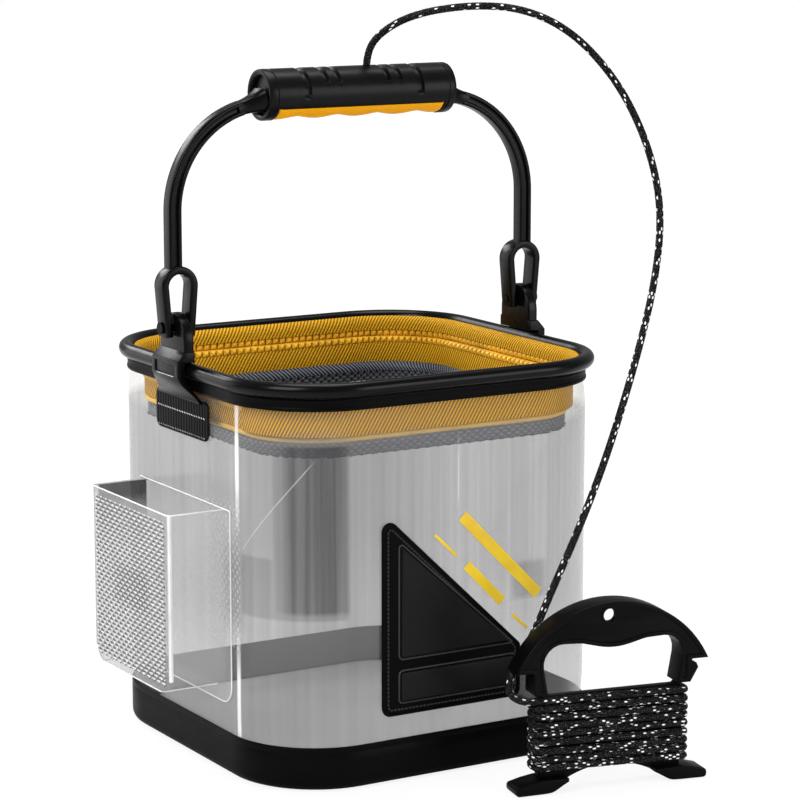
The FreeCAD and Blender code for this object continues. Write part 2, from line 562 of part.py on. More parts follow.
def webbing_patch(label):
    body = doc.addObject("PartDesign::Body", label)
    block = body.newObject("PartDesign::AdditiveBox", label + "_box")
    block.setExpression("Length", "Sizes.webbing_thickness")
    block.setExpression("Width", "2 * Sizes.webbing_half_width")
    block.setExpression("Height", "Sizes.webbing_height")
    block.setExpression("Placement.Base.x", WALL_FACE)
    block.setExpression("Placement.Base.y", "-Sizes.webbing_half_width")
    block.setExpression("Placement.Base.z", "Sizes.rim_top - Sizes.webbing_drop")
    doc.recompute()
    across = ["Edge%d" % number for number, edge in enumerate(block.Shape.Edges, start=1)
              if abs(abs(edge.tangentAt(edge.FirstParameter).x) - 1) < 1e-6]
    corners = body.newObject("PartDesign::Fillet", label + "_corners")
    corners.Base = (block, across)
    corners.setExpression("Radius", "Sizes.webbing_corner")
    doc.recompute()
    return body


webbing_patch_right = webbing_patch("webbing_patch_right")
webbing_patch_left = opposite("webbing_patch_left", webbing_patch_right)

# Bail arms: a fork on the pivot pin, an upright arm and a bend into the grip
FORK_LEVEL = "(%s + Sizes.fork_rise)" % PIVOT_LEVEL
FORK_END = "(%s - Sizes.fork_end)" % PIVOT_LEVEL
FORK_Y = evenly("Sizes.fork_depth / 2")


def fork_part(label, radius, end_half, low, depth):
    loop = cylinder(label + "_loop", "y", radius, (PIVOT_REACH, "-(%s)" % depth, FORK_LEVEL),
                    "2 * (%s)" % depth)
    legs = wedge(label + "_legs",
                 around(PIVOT_REACH, end_half),
                 evenly("(%s)" % depth), low,
                 around(PIVOT_REACH, radius),
                 evenly("(%s)" % depth), FORK_LEVEL)
    return fuse(label, loop, legs)


fork_outside = fork_part("fork_outside", "Sizes.fork_radius", "Sizes.fork_end_half_width", FORK_END,
                         "Sizes.fork_depth / 2")
fork_inside = fork_part("fork_inside", "Sizes.fork_radius - Sizes.fork_band",
                        "Sizes.fork_end_half_width - Sizes.fork_band", "%s - Sizes.cut_through" % FORK_END,
                        "Sizes.fork_depth / 2 + Sizes.cut_through")
fork = cut("fork", fork_outside, fork_inside)

FORK_TOP = "(%s + Sizes.fork_radius - Sizes.fork_band / 2)" % FORK_LEVEL


def bend(label, thickness, depth, middle):
    # A quarter-like arc of rectangular section in the plane of the bail
    rings = []
    for name, sign, room in (("_outer", "+", 0), ("_inner", "-", 1)):
        piece = doc.addObject("Part::Cylinder", label + name)
        piece.Placement = Placement(Vector(), Rotation(Vector(1, 0, 0), 90))
        piece.setExpression("Radius", "Sizes.arm_bend_radius %s %s / 2" % (sign, thickness))
        piece.setExpression("Height", "%s + 2 * %d * Sizes.cut_through" % (depth, room))
        piece.setExpression("Angle", "Sizes.arm_bend_angle" if not room else "360")
        piece.setExpression("Placement.Base.x", BEND_CENTRE)
        piece.setExpression("Placement.Base.y", "%s + %s / 2 + %d * Sizes.cut_through" % (middle, depth, room))
        piece.setExpression("Placement.Base.z", BEND_LEVEL)
        rings.append(piece)
    return cut(label, rings[0], rings[1])


arm_upright = box("arm_upright",
                  around(ARM_REACH, "Sizes.arm_thickness / 2"),
                  evenly("Sizes.arm_depth / 2"), (FORK_TOP, BEND_LEVEL))
arm_bend = bend("arm_bend", "Sizes.arm_thickness", "Sizes.arm_depth", "0")
arm_root = box("arm_root", ("Sizes.grip_half_length - Sizes.core_height", "%s + Sizes.arm_seat" % BEND_END_X),
               evenly("Sizes.core_half_depth"), (GRIP_CORE_BOTTOM, GRIP_CORE_TOP))
channels = []
for name, side in (("channel_front", -1), ("channel_rear", 1)):
    middle = "(%d * (Sizes.arm_depth - Sizes.arm_channel + Sizes.cut_through) / 2)" % side
    width = "(Sizes.arm_thickness - 2 * Sizes.arm_flange)"
    depth = "(Sizes.arm_channel + Sizes.cut_through)"
    low = "%s - %s / 2" % (middle, depth)
    high = "%s + %s / 2" % (middle, depth)
    channels.append(bend(name + "_bend", width, depth, middle))
    channels.append(box(name + "_upright",
                        around(ARM_REACH, "%s / 2" % width), (low, high),
                        ("%s + Sizes.fork_band" % FORK_TOP, BEND_LEVEL)))
arm_channels = fuse("arm_channels", *channels)
arm_beam = fuse("arm_beam", arm_upright, arm_bend)
arm_section = cut("arm_section", arm_beam, arm_channels)
arm_solid = fuse("arm_solid", arm_section, arm_root, fork)
fork_bore = cylinder("fork_bore", "x", "Sizes.pin_radius + Sizes.pin_clearance",
                     (0, 0, PIVOT_LEVEL), REACH)
bail_arm_right = cut("bail_arm_right", arm_solid, fork_bore)
bail_arm_left = opposite("bail_arm_left", bail_arm_right)

# Grip: a core between the arms, a shell on top and a finger pad underneath
CORE_HALF = "(Sizes.grip_half_length - Sizes.core_height - Sizes.pin_clearance)"
grip_core = box("grip_core", evenly(CORE_HALF), evenly("Sizes.core_half_depth"),
                (GRIP_CORE_BOTTOM, GRIP_CORE_TOP))
GRIP_X = evenly("Sizes.grip_half_length")
GRIP_Y = evenly("(Sizes.grip_radius + Sizes.cut_through)")


def barrel(label, radius, half_length):
    return cylinder(label, "x", radius, ("-%s" % half_length, 0, GRIP_AXIS), "2 * %s" % half_length)


grip_barrel = barrel("grip_barrel", "Sizes.grip_radius", "Sizes.grip_half_length")
pad_room = box("pad_room", evenly("(Sizes.grip_half_length - Sizes.grip_end)"), GRIP_Y,
               ("%s - Sizes.cut_through" % PAD_BOTTOM, GRIP_CORE_BOTTOM))
core_room = box("core_room", evenly("(Sizes.grip_half_length + Sizes.cut_through)"),
                evenly("(Sizes.core_half_depth + Sizes.film_gap)"),
                ("%s - Sizes.film_gap" % GRIP_CORE_BOTTOM, GRIP_SPLIT))

# Grooves round the upper half of the shell: a long one and two short ones at each end
GROOVES = [
    ("long", "Sizes.groove_long_x", "Sizes.groove_long_width", "Sizes.groove_long_length"),
    ("short_outer", "Sizes.groove_short_x", "Sizes.groove_short_width", "Sizes.groove_short_length"),
    ("short_inner", "(Sizes.groove_short_x - Sizes.groove_short_pitch)", "Sizes.groove_short_width",
     "Sizes.groove_short_length"),
]
groove_slabs = []
for name, place, width, length in GROOVES:
    for end in (-1, 1):
        middle = "%d * %s" % (end, place)
        label = "groove_%s_%s" % (name, "left" if end < 0 else "right")
        groove_slabs.append(box(label, ("%s - %s / 2" % (middle, width), "%s + %s / 2" % (middle, width)), GRIP_Y,
                                ("%s - %s" % (GRIP_TOP, length), "%s + Sizes.cut_through" % GRIP_TOP)))
groove_floor = barrel("groove_floor", "Sizes.grip_radius - Sizes.groove_depth",
                      "(Sizes.grip_half_length + Sizes.cut_through)")
grooves = cut("grooves", fuse("groove_slabs", *groove_slabs), groove_floor)
rope_hole = cylinder("rope_hole", "z", "Sizes.rope_diameter / 2 + Sizes.rope_clearance",
                     ("Sizes.rope_hole_x", 0, GRIP_SPLIT),
                     "Sizes.shell_height + Sizes.cut_through")
knot_pocket = cylinder("knot_pocket", "z", "Sizes.knot_radius + Sizes.rope_clearance",
                       ("Sizes.rope_hole_x", 0, "%s - Sizes.cut_through" % GRIP_SPLIT),
                       "2 * Sizes.knot_radius + Sizes.cut_through + Sizes.rope_clearance")
shell_cuts = fuse("shell_cuts", pad_room, core_room, rope_hole, knot_pocket, grooves)
grip_shell = cut("grip_shell", grip_barrel, shell_cuts)
rope_knot = doc.addObject("Part::Sphere", "rope_knot")
rope_knot.setExpression("Radius", "Sizes.knot_radius")
rope_knot.setExpression("Placement.Base.x", "Sizes.rope_hole_x")
rope_knot.setExpression("Placement.Base.z", "%s + Sizes.knot_radius" % GRIP_SPLIT)

pad_barrel = barrel("pad_barrel", PAD_RADIUS, "(Sizes.grip_half_length - Sizes.grip_end - Sizes.seat_gap)")
pad_half = box("pad_half", GRIP_X, GRIP_Y, ("%s - Sizes.cut_through" % PAD_BOTTOM, PAD_TOP))
pad_block = common("pad_block", pad_barrel, pad_half)
FINGER_HALF = "((Sizes.finger_pitch - Sizes.finger_land) / 2)"
FINGER_RADIUS = ("((%s * %s + Sizes.finger_depth * Sizes.finger_depth) / (2 * Sizes.finger_depth))"
                 % (FINGER_HALF, FINGER_HALF))
hollows = []
for number in range(4):
    hollows.append(cylinder("finger_hollow_%d" % (number + 1), "y", FINGER_RADIUS,
                            ("%s * Sizes.finger_pitch" % (number - 1.5), GRIP_Y[0],
                             "%s + Sizes.finger_depth - %s" % (PAD_BOTTOM, FINGER_RADIUS)),
                            "%s - %s" % GRIP_Y[::-1]))
grip_pad = cut("grip_pad", pad_block, fuse("finger_hollows", *hollows))

# Winder, built upright at the origin and then set down in front of the bucket
ARCH_RISE = "(Sizes.winder_height - Sizes.winder_arch_level)"
ARCH_RADIUS = ("((Sizes.winder_half_width * Sizes.winder_half_width + %s * %s) / (2 * %s))"
               % (ARCH_RISE, ARCH_RISE, ARCH_RISE))
WINDER_Y = evenly("(Sizes.winder_thickness / 2)")
arch_disc = cylinder("arch_disc", "y", ARCH_RADIUS,
                     (0, "-Sizes.winder_thickness / 2", "Sizes.winder_height - %s" % ARCH_RADIUS),
                     "Sizes.winder_thickness")
arch_room = box("arch_room", WIDE, WINDER_Y,
                ("Sizes.winder_arch_level", "Sizes.winder_height + Sizes.cut_through"))
arch = common("arch", arch_disc, arch_room)
legs = box("winder_legs", evenly("Sizes.winder_leg_half"), WINDER_Y,
           ("Sizes.winder_leg_bottom", "Sizes.winder_arch_level + Sizes.cut_through"))
WAIST_Z = ("Sizes.foot_tip_height", "(Sizes.winder_leg_bottom + Sizes.cut_through)")
WAIST_END = "(Sizes.waist_half_width - Sizes.waist_thickness / 2)"
waist = box("waist", evenly(WAIST_END), evenly("(Sizes.waist_thickness / 2)"), WAIST_Z)
WAIST_HEIGHT = "%s - %s" % WAIST_Z[::-1]
waist_ends = [cylinder(name, "z", "Sizes.waist_thickness / 2", (place, 0, WAIST_Z[0]), WAIST_HEIGHT)
              for name, place in (("waist_end_left", "-%s" % WAIST_END), ("waist_end_right", WAIST_END))]
foot_tips = box("foot_tips", evenly("Sizes.winder_half_width"), WINDER_Y, (0, "Sizes.foot_tip_height"))
foot_slopes = wedge("foot_slopes", evenly("Sizes.winder_half_width"), WINDER_Y, "Sizes.foot_tip_height",
                    evenly("Sizes.waist_half_width"), WINDER_Y, "Sizes.foot_height")
winder_solid = fuse("winder_solid", arch, legs, waist, foot_tips, foot_slopes, *waist_ends)
hand_body = doc.addObject("PartDesign::Body", "hand_body")
hand_block = hand_body.newObject("PartDesign::AdditiveBox", "hand_block")
hand_block.setExpression("Length", "2 * Sizes.winder_hand_half")
hand_block.setExpression("Width", "2 * Sizes.winder_thickness")
hand_block.setExpression("Height", "Sizes.winder_hand_top - Sizes.waist_top")
hand_block.setExpression("Placement.Base.x", "-Sizes.winder_hand_half")
hand_block.setExpression("Placement.Base.y", "-Sizes.winder_thickness")
hand_block.setExpression("Placement.Base.z", "Sizes.waist_top")
doc.recompute()
top_corners = ["Edge%d" % number for number, edge in enumerate(hand_block.Shape.Edges, start=1)
               if edge.BoundBox.YLength > size("winder_thickness")
               and edge.BoundBox.ZMin > size("winder_leg_bottom")]
hand_corners = hand_body.newObject("PartDesign::Fillet", "hand_corners")
hand_corners.Base = (hand_block, top_corners)
hand_corners.setExpression("Radius", "Sizes.winder_hand_corner")
doc.recompute()
belly = cylinder("belly", "y", "Sizes.winder_belly_radius",
                 (0, "-Sizes.winder_thickness",
                  "Sizes.winder_hand_top - Sizes.winder_belly + Sizes.winder_belly_radius"),
                 "2 * Sizes.winder_thickness")
hand_opening = cut("hand_opening", hand_body, belly)
hanging_hole = cylinder("hanging_hole", "y", "Sizes.winder_hole_radius",
                        ("Sizes.winder_hole_x", "-Sizes.winder_thickness", "Sizes.winder_hole_level"),
                        "2 * Sizes.winder_thickness")
foot_arch = cylinder("foot_arch", "y", "Sizes.foot_arch_radius",
                     (0, "-Sizes.winder_thickness", "Sizes.foot_arch_height - Sizes.foot_arch_radius"),
                     "2 * Sizes.winder_thickness")
back_disc = cylinder("back_disc", "y", "%s - Sizes.winder_wall" % ARCH_RADIUS,
                     (0, "Sizes.winder_front - Sizes.winder_thickness / 2", "Sizes.winder_height - %s" % ARCH_RADIUS),
                     "Sizes.winder_thickness")
back_level = box("back_level", WIDE, evenly("Sizes.winder_thickness * 2"),
                 ("Sizes.winder_hand_top + Sizes.winder_wall", "Sizes.winder_height"))
hollow_back = common("hollow_back", back_disc, back_level)
winder_cuts = fuse("winder_cuts", hand_opening, hanging_hole, foot_arch, hollow_back)
winder = cut("winder", winder_solid, winder_cuts)
winder_place = Placement(Vector(size("winder_x"), size("winder_y"), 0),
                         Rotation(Vector(0, 0, 1), size("winder_turn")))
winder.Placement = winder_place

# Rope: the free stretch from the grip to the winder, and the turns on the winder


def three_point_arc(start, direction, end):
    # The arc that leaves start along direction and ends at end
    chord = end - start
    along = chord / chord.Length
    across = direction - along * direction.dot(along)
    half_angle = direction.getAngle(chord) / 2
    bulge = chord.Length / 2 * math.tan(half_angle)
    across.normalize()
    return Part.Arc(start, start + chord / 2 + across * bulge, end)


def rounded_route(points):
    # Straight runs joined by arcs that leave and meet the runs without a kink
    edges = []
    radii = []
    here = points[0]
    for before, corner, after in zip(points, points[1:], points[2:]):
        into = (corner - before).normalize()
        out = (after - corner).normalize()
        turn = into.getAngle(out)
        reach = 0.45 * min((corner - before).Length, (after - corner).Length)
        start = corner - into * reach
        end = corner + out * reach
        edges.append(Part.LineSegment(here, start))
        edges.append(three_point_arc(start, into, end))
        radii.append(reach / math.tan(turn / 2))
        here = end
    edges.append(Part.LineSegment(here, points[-1]))
    return edges, radii


def tube(edges, direction, diameter):
    route = Part.Wire([edge.toShape() for edge in edges])
    start = edges[0].value(edges[0].FirstParameter)
    section = Part.Wire([Part.Circle(start, direction, diameter / 2).toShape()])
    solid = route.makePipeShell([section], True, False)
    expected = math.pi * diameter ** 2 / 4 * route.Length
    print("tube length %.1f, volume %.4f of section times length" % (route.Length, solid.Volume / expected))
    return solid


waist_side = size("waist_thickness") / 2 + size("winding_gap") + size("rope_diameter") / 2
run_half = size("waist_half_width") + size("winding_gap") + size("rope_diameter") / 2 - waist_side


def winding_point(travel):
    # A point on the flat helix round the waist, and its direction, after a length of rope seen from above
    half_turn = math.pi * waist_side
    lap = 2 * (2 * run_half + half_turn)
    slope = size("winding_pitch") / lap
    place = travel % lap
    if place < 2 * run_half:
        flat = Vector(-run_half + place, -waist_side, 0)
        heading = Vector(1, 0, 0)
    elif place < 2 * run_half + half_turn:
        angle = (place - 2 * run_half) / waist_side
        flat = Vector(run_half + waist_side * math.sin(angle), -waist_side * math.cos(angle), 0)
        heading = Vector(math.cos(angle), math.sin(angle), 0)
    elif place < 4 * run_half + half_turn:
        flat = Vector(run_half - (place - 2 * run_half - half_turn), waist_side, 0)
        heading = Vector(-1, 0, 0)
    else:
        angle = (place - 4 * run_half - half_turn) / waist_side
        flat = Vector(-run_half - waist_side * math.sin(angle), waist_side * math.cos(angle), 0)
        heading = Vector(-math.cos(angle), -math.sin(angle), 0)
    level = size("winding_top") - slope * travel
    return flat + Vector(0, 0, level), (heading - Vector(0, 0, slope)).normalize()


def biarc(start, leaving, end, arriving):
    # Two arcs that join two points and keep both directions
    chord = end - start
    both = leaving + arriving
    spread = 2 * (1 - leaving.dot(arriving))
    lean = chord.dot(both)
    reach = (math.sqrt(lean ** 2 + spread * chord.dot(chord)) - lean) / spread
    joint = (start + end + (leaving - arriving) * reach) / 2
    return [three_point_arc(start, leaving, joint), three_point_arc(end, arriving * -1, joint)]


def winding_edges(entry, entry_heading):
    # A loose half turn, then straight runs along both faces of the waist with half turns round its edges
    half_turn = math.pi * waist_side
    begin, heading = winding_point(0.0)
    edges = biarc(entry, entry_heading, begin, heading)
    travel = 0.0
    last_run = int(size("winding_turns")) * 2 - 1
    for run in range(last_run + 1):
        begin, _ = winding_point(travel)
        end, _ = winding_point(travel + 2 * run_half)
        edges.append(Part.LineSegment(begin, end))
        travel += 2 * run_half
        if run == last_run:
            break
        for _ in range(2):
            begin, leaving = winding_point(travel)
            end, arriving = winding_point(travel + half_turn / 2)
            edges += biarc(begin, leaving, end, arriving)
            travel += half_turn / 2
    return edges


def least_self_gap(edges, diameter):
    # Each lap has ten edges, and points half a lap or more apart are compared
    shares = (0.0, 0.25, 0.5, 0.75)
    half_lap = 5 * len(shares)
    points = []
    for edge in edges:
        for share in shares:
            points.append(edge.value(edge.FirstParameter + share * (edge.LastParameter - edge.FirstParameter)))
    gaps = [(a - b).Length for i, a in enumerate(points) for b in points[i + half_lap:]]
    return min(gaps) - diameter


# The free rope leaves the grip upright, arches over and comes down behind the winder's arch
ROPE_POINTS = [
    (7.6, 0.0, 342.6),
    (7.6, -0.3, 353.0),
    (10.6, -7.8, 363.5),
    (23.5, -20.0, 373.5),
    (49.5, -33.0, 378.0),
    (76.0, -42.0, 376.0),
    (99.0, -51.0, 364.5),
    (118.0, -60.0, 343.0),
    (130.5, -67.5, 318.0),
    (136.0, -76.0, 291.0),
    (132.3, -86.1, 266.8),
    (121.5, -96.3, 239.2),
    (106.3, -106.6, 211.7),
    (88.6, -116.1, 180.9),
    (70.2, -124.7, 151.0),
    (50.5, -131.1, 120.6),
    (34.3, -133.9, 95.0),
    (25.5, -135.1, 79.5),
    (18.6, -135.5, 69.0),
]
entry = Vector(size("entry_x"), size("entry_y"), size("entry_z"))
rope_points = [Vector(*point) for point in ROPE_POINTS] + [winder_place.multVec(entry)]
free_edges, free_radii = rounded_route(rope_points)
print("rope radii", " ".join("%.0f" % radius for radius in free_radii))
rope_free = coded("rope_free", tube(free_edges, rope_points[1] - rope_points[0], size("rope_diameter")))
to_winder = winder_place.inverse()
entry_heading = (entry - to_winder.multVec(rope_points[-2])).normalize()
turns = winding_edges(entry, entry_heading)
print("loose turn radii", " ".join("%.1f" % edge.toShape().Curve.Radius for edge in turns[:2]))
print("winding gap to itself %.2f" % least_self_gap(turns, size("rope_diameter")))
rope_winding = coded("rope_winding", tube(turns, entry_heading, size("rope_diameter")))
rope_winding.Placement = winder_place

# Side pocket: an open-topped film box with a welded flange, and its raised net
POCKET_TOP = "(Sizes.pocket_bottom + Sizes.pocket_height)"
POCKET_Y = evenly("Sizes.pocket_half_width")
pocket_outside = box("pocket_outside", (POCKET_FACE, "-%s" % WALL_FACE), POCKET_Y,
                     ("Sizes.pocket_bottom", POCKET_TOP))
flange_plate = box("flange_plate", ("-%s - Sizes.pocket_wall" % WALL_FACE, "-%s" % WALL_FACE),
                   evenly("(Sizes.pocket_half_width + Sizes.pocket_flange)"),
                   ("Sizes.pocket_bottom - Sizes.pocket_flange", POCKET_TOP))
pocket_solid = fuse("pocket_solid", pocket_outside, flange_plate)
pocket_room = box("pocket_room", ("%s + Sizes.pocket_wall" % POCKET_FACE, 0),
                  evenly("(Sizes.pocket_half_width - Sizes.pocket_wall)"),
                  ("Sizes.pocket_bottom + Sizes.pocket_wall", "%s + Sizes.cut_through" % POCKET_TOP))
pocket_body = cut("pocket_body", pocket_solid, pocket_room)


def pocket_net_shape():
    # One holed face with diamond gaps in staggered rows
    half = size("pocket_half_width") - size("emboss_border")
    low = size("pocket_bottom") + size("emboss_border")
    high = low + size("pocket_height") - 2 * size("emboss_border")
    x = evaluate(POCKET_FACE)
    corners = ((-half, low), (half, low), (half, high), (-half, high))
    outline = closed_wire([Vector(x, y, z) for y, z in corners])
    wide = size("diamond_width") / 2
    tall = size("diamond_height") / 2
    shrink = 1 - size("diamond_strand") * math.hypot(wide, tall) / (2 * wide * tall)
    columns = int((half - size("diamond_strand")) / wide)
    lines = int((high - low - 2 * size("diamond_strand")) / 2 / tall)
    middle = (low + high) / 2
    holes = []
    for column in range(-columns + 1, columns):
        for line in range(-lines + 1, lines):
            if (column + line) % 2:
                continue
            y = column * wide
            z = middle + line * tall
            holes.append(closed_wire([Vector(x, y - wide * shrink, z), Vector(x, y, z + tall * shrink),
                                      Vector(x, y + wide * shrink, z), Vector(x, y, z - tall * shrink)]))
    print("pocket net gaps:", len(holes))
    return holed_plate(outline, holes, Vector(-size("emboss_height"), 0, 0))


pocket_net = coded("pocket_net", pocket_net_shape())

# Front patch with its two raised panels
PATCH_Y = (PATCH_FACE, "-%s" % WALL_FACE)
PANEL_Y = (PANEL_FACE, PATCH_FACE)
patch_foot = box("patch_foot", ("Sizes.patch_left", "Sizes.patch_right"), PATCH_Y,
                 ("Sizes.patch_bottom", "Sizes.patch_shoulder"))
PATCH_TOP_X = ("Sizes.patch_left", "Sizes.patch_left + Sizes.patch_top_width")
patch_slope = wedge("patch_slope", ("Sizes.patch_left", "Sizes.patch_right"), PATCH_Y, "Sizes.patch_shoulder",
                    PATCH_TOP_X, PATCH_Y, "Sizes.patch_top")
front_patch = fuse("front_patch", patch_foot, patch_slope)
patch_strip = box("patch_strip", ("Sizes.panel_left", "Sizes.panel_right"), PANEL_Y,
                  ("Sizes.panel_bottom", "Sizes.panel_split - Sizes.panel_split_gap"))
PANEL_X = ("Sizes.panel_left", "Sizes.panel_right")
PANEL_TIP_X = ("Sizes.panel_left", "Sizes.panel_left + Sizes.panel_tip")
patch_triangle = wedge("patch_triangle", PANEL_X, PANEL_Y, "Sizes.panel_split",
                       PANEL_TIP_X, PANEL_Y, "Sizes.panel_top")

NODES = [
    base_tray, floor_sheet, film_wall, rim_bead, rim_rod, rim_band, collar,
    zip_row_upper, zip_row_lower, lid_band, lid_piping, lid_net_skirt, lid_net,
    apron_band, apron_piping, apron_net_skirt, apron_net, zip_slider, zip_pull,
    bracket_left, bracket_right, pivot_pin_left, pivot_pin_right, webbing_patch_left, webbing_patch_right,
    bail_arm_left, bail_arm_right, grip_core, grip_shell, grip_pad, rope_knot,
    rope_free, rope_winding, winder, pocket_body, pocket_net, front_patch, patch_triangle, patch_strip,
]

doc.recompute()
for item in doc.Objects:
    if "Invalid" in item.State or "Error" in item.State:
        raise RuntimeError("%s did not build" % item.Label)
os.makedirs("parts", exist_ok=True)
for node in NODES:
    if node.Shape.isNull() or not node.Shape.isValid():
        raise RuntimeError("%s has a bad shape" % node.Label)
    print("%-20s solids %d volume %.0f" % (node.Label, len(node.Shape.Solids), node.Shape.Volume))
    node.Shape.exportStep("parts/%s.step" % node.Label)
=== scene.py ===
import bmesh
import bpy
import math
from mathutils import Matrix, Vector


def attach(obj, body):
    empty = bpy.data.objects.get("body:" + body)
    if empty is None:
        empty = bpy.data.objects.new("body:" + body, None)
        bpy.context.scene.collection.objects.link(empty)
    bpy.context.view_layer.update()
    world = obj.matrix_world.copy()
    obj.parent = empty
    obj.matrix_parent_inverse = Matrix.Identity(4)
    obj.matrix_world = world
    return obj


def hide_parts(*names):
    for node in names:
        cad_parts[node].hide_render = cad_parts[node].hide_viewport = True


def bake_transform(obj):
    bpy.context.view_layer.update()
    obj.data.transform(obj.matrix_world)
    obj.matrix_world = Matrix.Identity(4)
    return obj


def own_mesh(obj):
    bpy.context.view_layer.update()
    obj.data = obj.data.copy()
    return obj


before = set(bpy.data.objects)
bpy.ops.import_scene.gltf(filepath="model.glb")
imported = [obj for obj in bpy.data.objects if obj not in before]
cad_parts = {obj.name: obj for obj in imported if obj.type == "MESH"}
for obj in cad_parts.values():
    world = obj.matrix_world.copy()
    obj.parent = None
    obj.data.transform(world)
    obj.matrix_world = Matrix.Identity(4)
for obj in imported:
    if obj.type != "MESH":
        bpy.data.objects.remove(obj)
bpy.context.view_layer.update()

# The bucket's lengths are written in millimetres and scaled once, when a mesh is made; the camera and the
# studio are in metres
MM = 0.001
UPPER, BASE, BAIL, LID = "upper", "base", "bail", "lid"
SIDES = ((-1, "left"), (1, "right"))
X_AXIS, Y_AXIS, Z_AXIS = Vector((1.0, 0.0, 0.0)), Vector((0.0, 1.0, 0.0)), Vector((0.0, 0.0, 1.0))


def placed(name, data):
    """A new object in the scene"""
    made = bpy.data.objects.new(name, data)
    bpy.context.scene.collection.objects.link(made)
    return made


# Camera at the photograph's place
camera_data = bpy.data.cameras.new("photo_camera")
camera_data.lens = 131.1
camera_data.sensor_width = 36.0
camera = placed("photo_camera", camera_data)
camera.location = (-0.7421, -1.2931, 0.4439)
camera.rotation_euler = (math.radians(79.737), 0.0, math.radians(-30.769))
bpy.context.scene.camera = camera
bpy.context.scene.view_settings.view_transform = "Standard"


class Nodes:
    """Shader nodes, added one by one to a tree"""

    def __init__(self, tree):
        self.tree = tree

    def feed(self, socket, value):
        if isinstance(value, bpy.types.NodeSocket):
            self.tree.links.new(value, socket)
        else:
            socket.default_value = value

    def node(self, kind, inputs, output=0, **settings):
        made = self.tree.nodes.new(kind)
        for key, value in settings.items():
            setattr(made, key, value)
        for key, value in inputs.items():
            self.feed(made.inputs[key], value)
        return made.outputs[output]

    def math(self, operation, *values):
        return self.node("ShaderNodeMath", dict(enumerate(values)), operation=operation)

    def times(self, product, *others):
        for value in others:
            product = self.math("MULTIPLY", product, value)
        return product

    def total(self, *values):
        """The sum of (value, weight) pairs"""
        result = 0.0
        for value, weight in values:
            result = self.math("MULTIPLY_ADD", value, weight, result)
        return result

    def between(self, factor, low, high):
        return self.node("ShaderNodeMapRange", {"Value": factor, "To Min": low, "To Max": high})

    def step(self, factor, low, high):
        return self.node("ShaderNodeMapRange", {"Value": factor, "From Min": low, "From Max": high})


class Finish(Nodes):
    """A material built round its main shader"""

    def __init__(self, name, slot, **sockets):
        self.slot = slot
        self.material = bpy.data.materials.new(name)
        self.material.use_nodes = True
        super().__init__(self.material.node_tree)
        self.shader = self.tree.nodes["Principled BSDF"]
        self.wear(**sockets)

    def wear(self, **sockets):
        """Feeds the shader's sockets, written with an underscore for each space"""
        for name, value in sockets.items():
            self.feed(self.shader.inputs[name.replace("_", " ")], value)

    def axis(self, point, name):
        return self.node("ShaderNodeSeparateXYZ", {0: point}, name)

    def place(self):
        """Where a point is on the object, in millimetres"""
        source = self.node("ShaderNodeTexCoord", {}, "Object")
        return self.node("ShaderNodeVectorMath", {0: source, "Scale": 1 / MM}, operation="SCALE")

    def sheet_place(self):
        """Distances along and across a piece, in millimetres"""
        source = self.node("ShaderNodeTexCoord", {}, "UV")
        return self.axis(source, "X"), self.axis(source, "Y")

    def point(self, x, y):
        return self.node("ShaderNodeCombineXYZ", {"X": x, "Y": y})

    def noise(self, where, size, detail=2.0):
        return self.node("ShaderNodeTexNoise", {"Vector": where, "Scale": 1 / size, "Detail": detail})

    def ridges(self, distance, pitch):
        """A wave from 0 to 1 with the given pitch"""
        turn = self.times(distance, 2 * math.pi / pitch)
        return self.math("MULTIPLY_ADD", self.math("SINE", turn), 0.5, 0.5)

    def window(self, value, low, high, soft):
        """1 between two values and 0 outside, with soft edges"""
        rise = self.step(value, low - soft, low + soft)
        return self.times(rise, self.step(value, high + soft, high - soft))

    def zone(self, along, length, level, height):
        """1 in a rectangle of a sheet and 0 outside, each of its spans as (low, high, soft)"""
        return self.times(self.window(along, *length), self.window(level, *height))

    def lit_through(self):
        """Film lets most of the lamps' light pass: 1 to sight and little to shadows"""
        return self.between(self.node("ShaderNodeLightPath", {}, "Is Shadow Ray"), 1.0, 0.25)

    def mix(self, factor, first, second):
        first, second = [(*value, 1.0) if isinstance(value, tuple) else value for value in (first, second)]
        return self.node("ShaderNodeMix", {0: factor, 6: first, 7: second}, 2, data_type="RGBA")

    def bump(self, height, depth):
        """Relief of the given depth in millimetres"""
        return self.node("ShaderNodeBump", {"Strength": 1.0, "Distance": depth * MM, "Height": height})


def scaled(colour, factor):
    return tuple(min(1.0, channel * factor) for channel in colour)


def moulded(name, slot, colour, roughness, grain=0.6, depth=0.03, specular=0.35, mottle=(0.65, 1.5)):
    """Moulded plastic or rubber: mottled colour, uneven gloss and a fine grain"""
    finish = Finish(name, slot, Specular_IOR_Level=specular)
    where = finish.place()
    darkest, palest = [scaled(colour, factor) for factor in mottle]
    smears = finish.noise(where, 7.0, 3.0)
    finish.wear(Base_Color=finish.mix(finish.noise(where, 16.0, 4.0), darkest, palest),
                Roughness=finish.between(smears, roughness - 0.08, roughness + 0.08),
                Normal=finish.bump(finish.noise(where, grain), depth))
    return finish


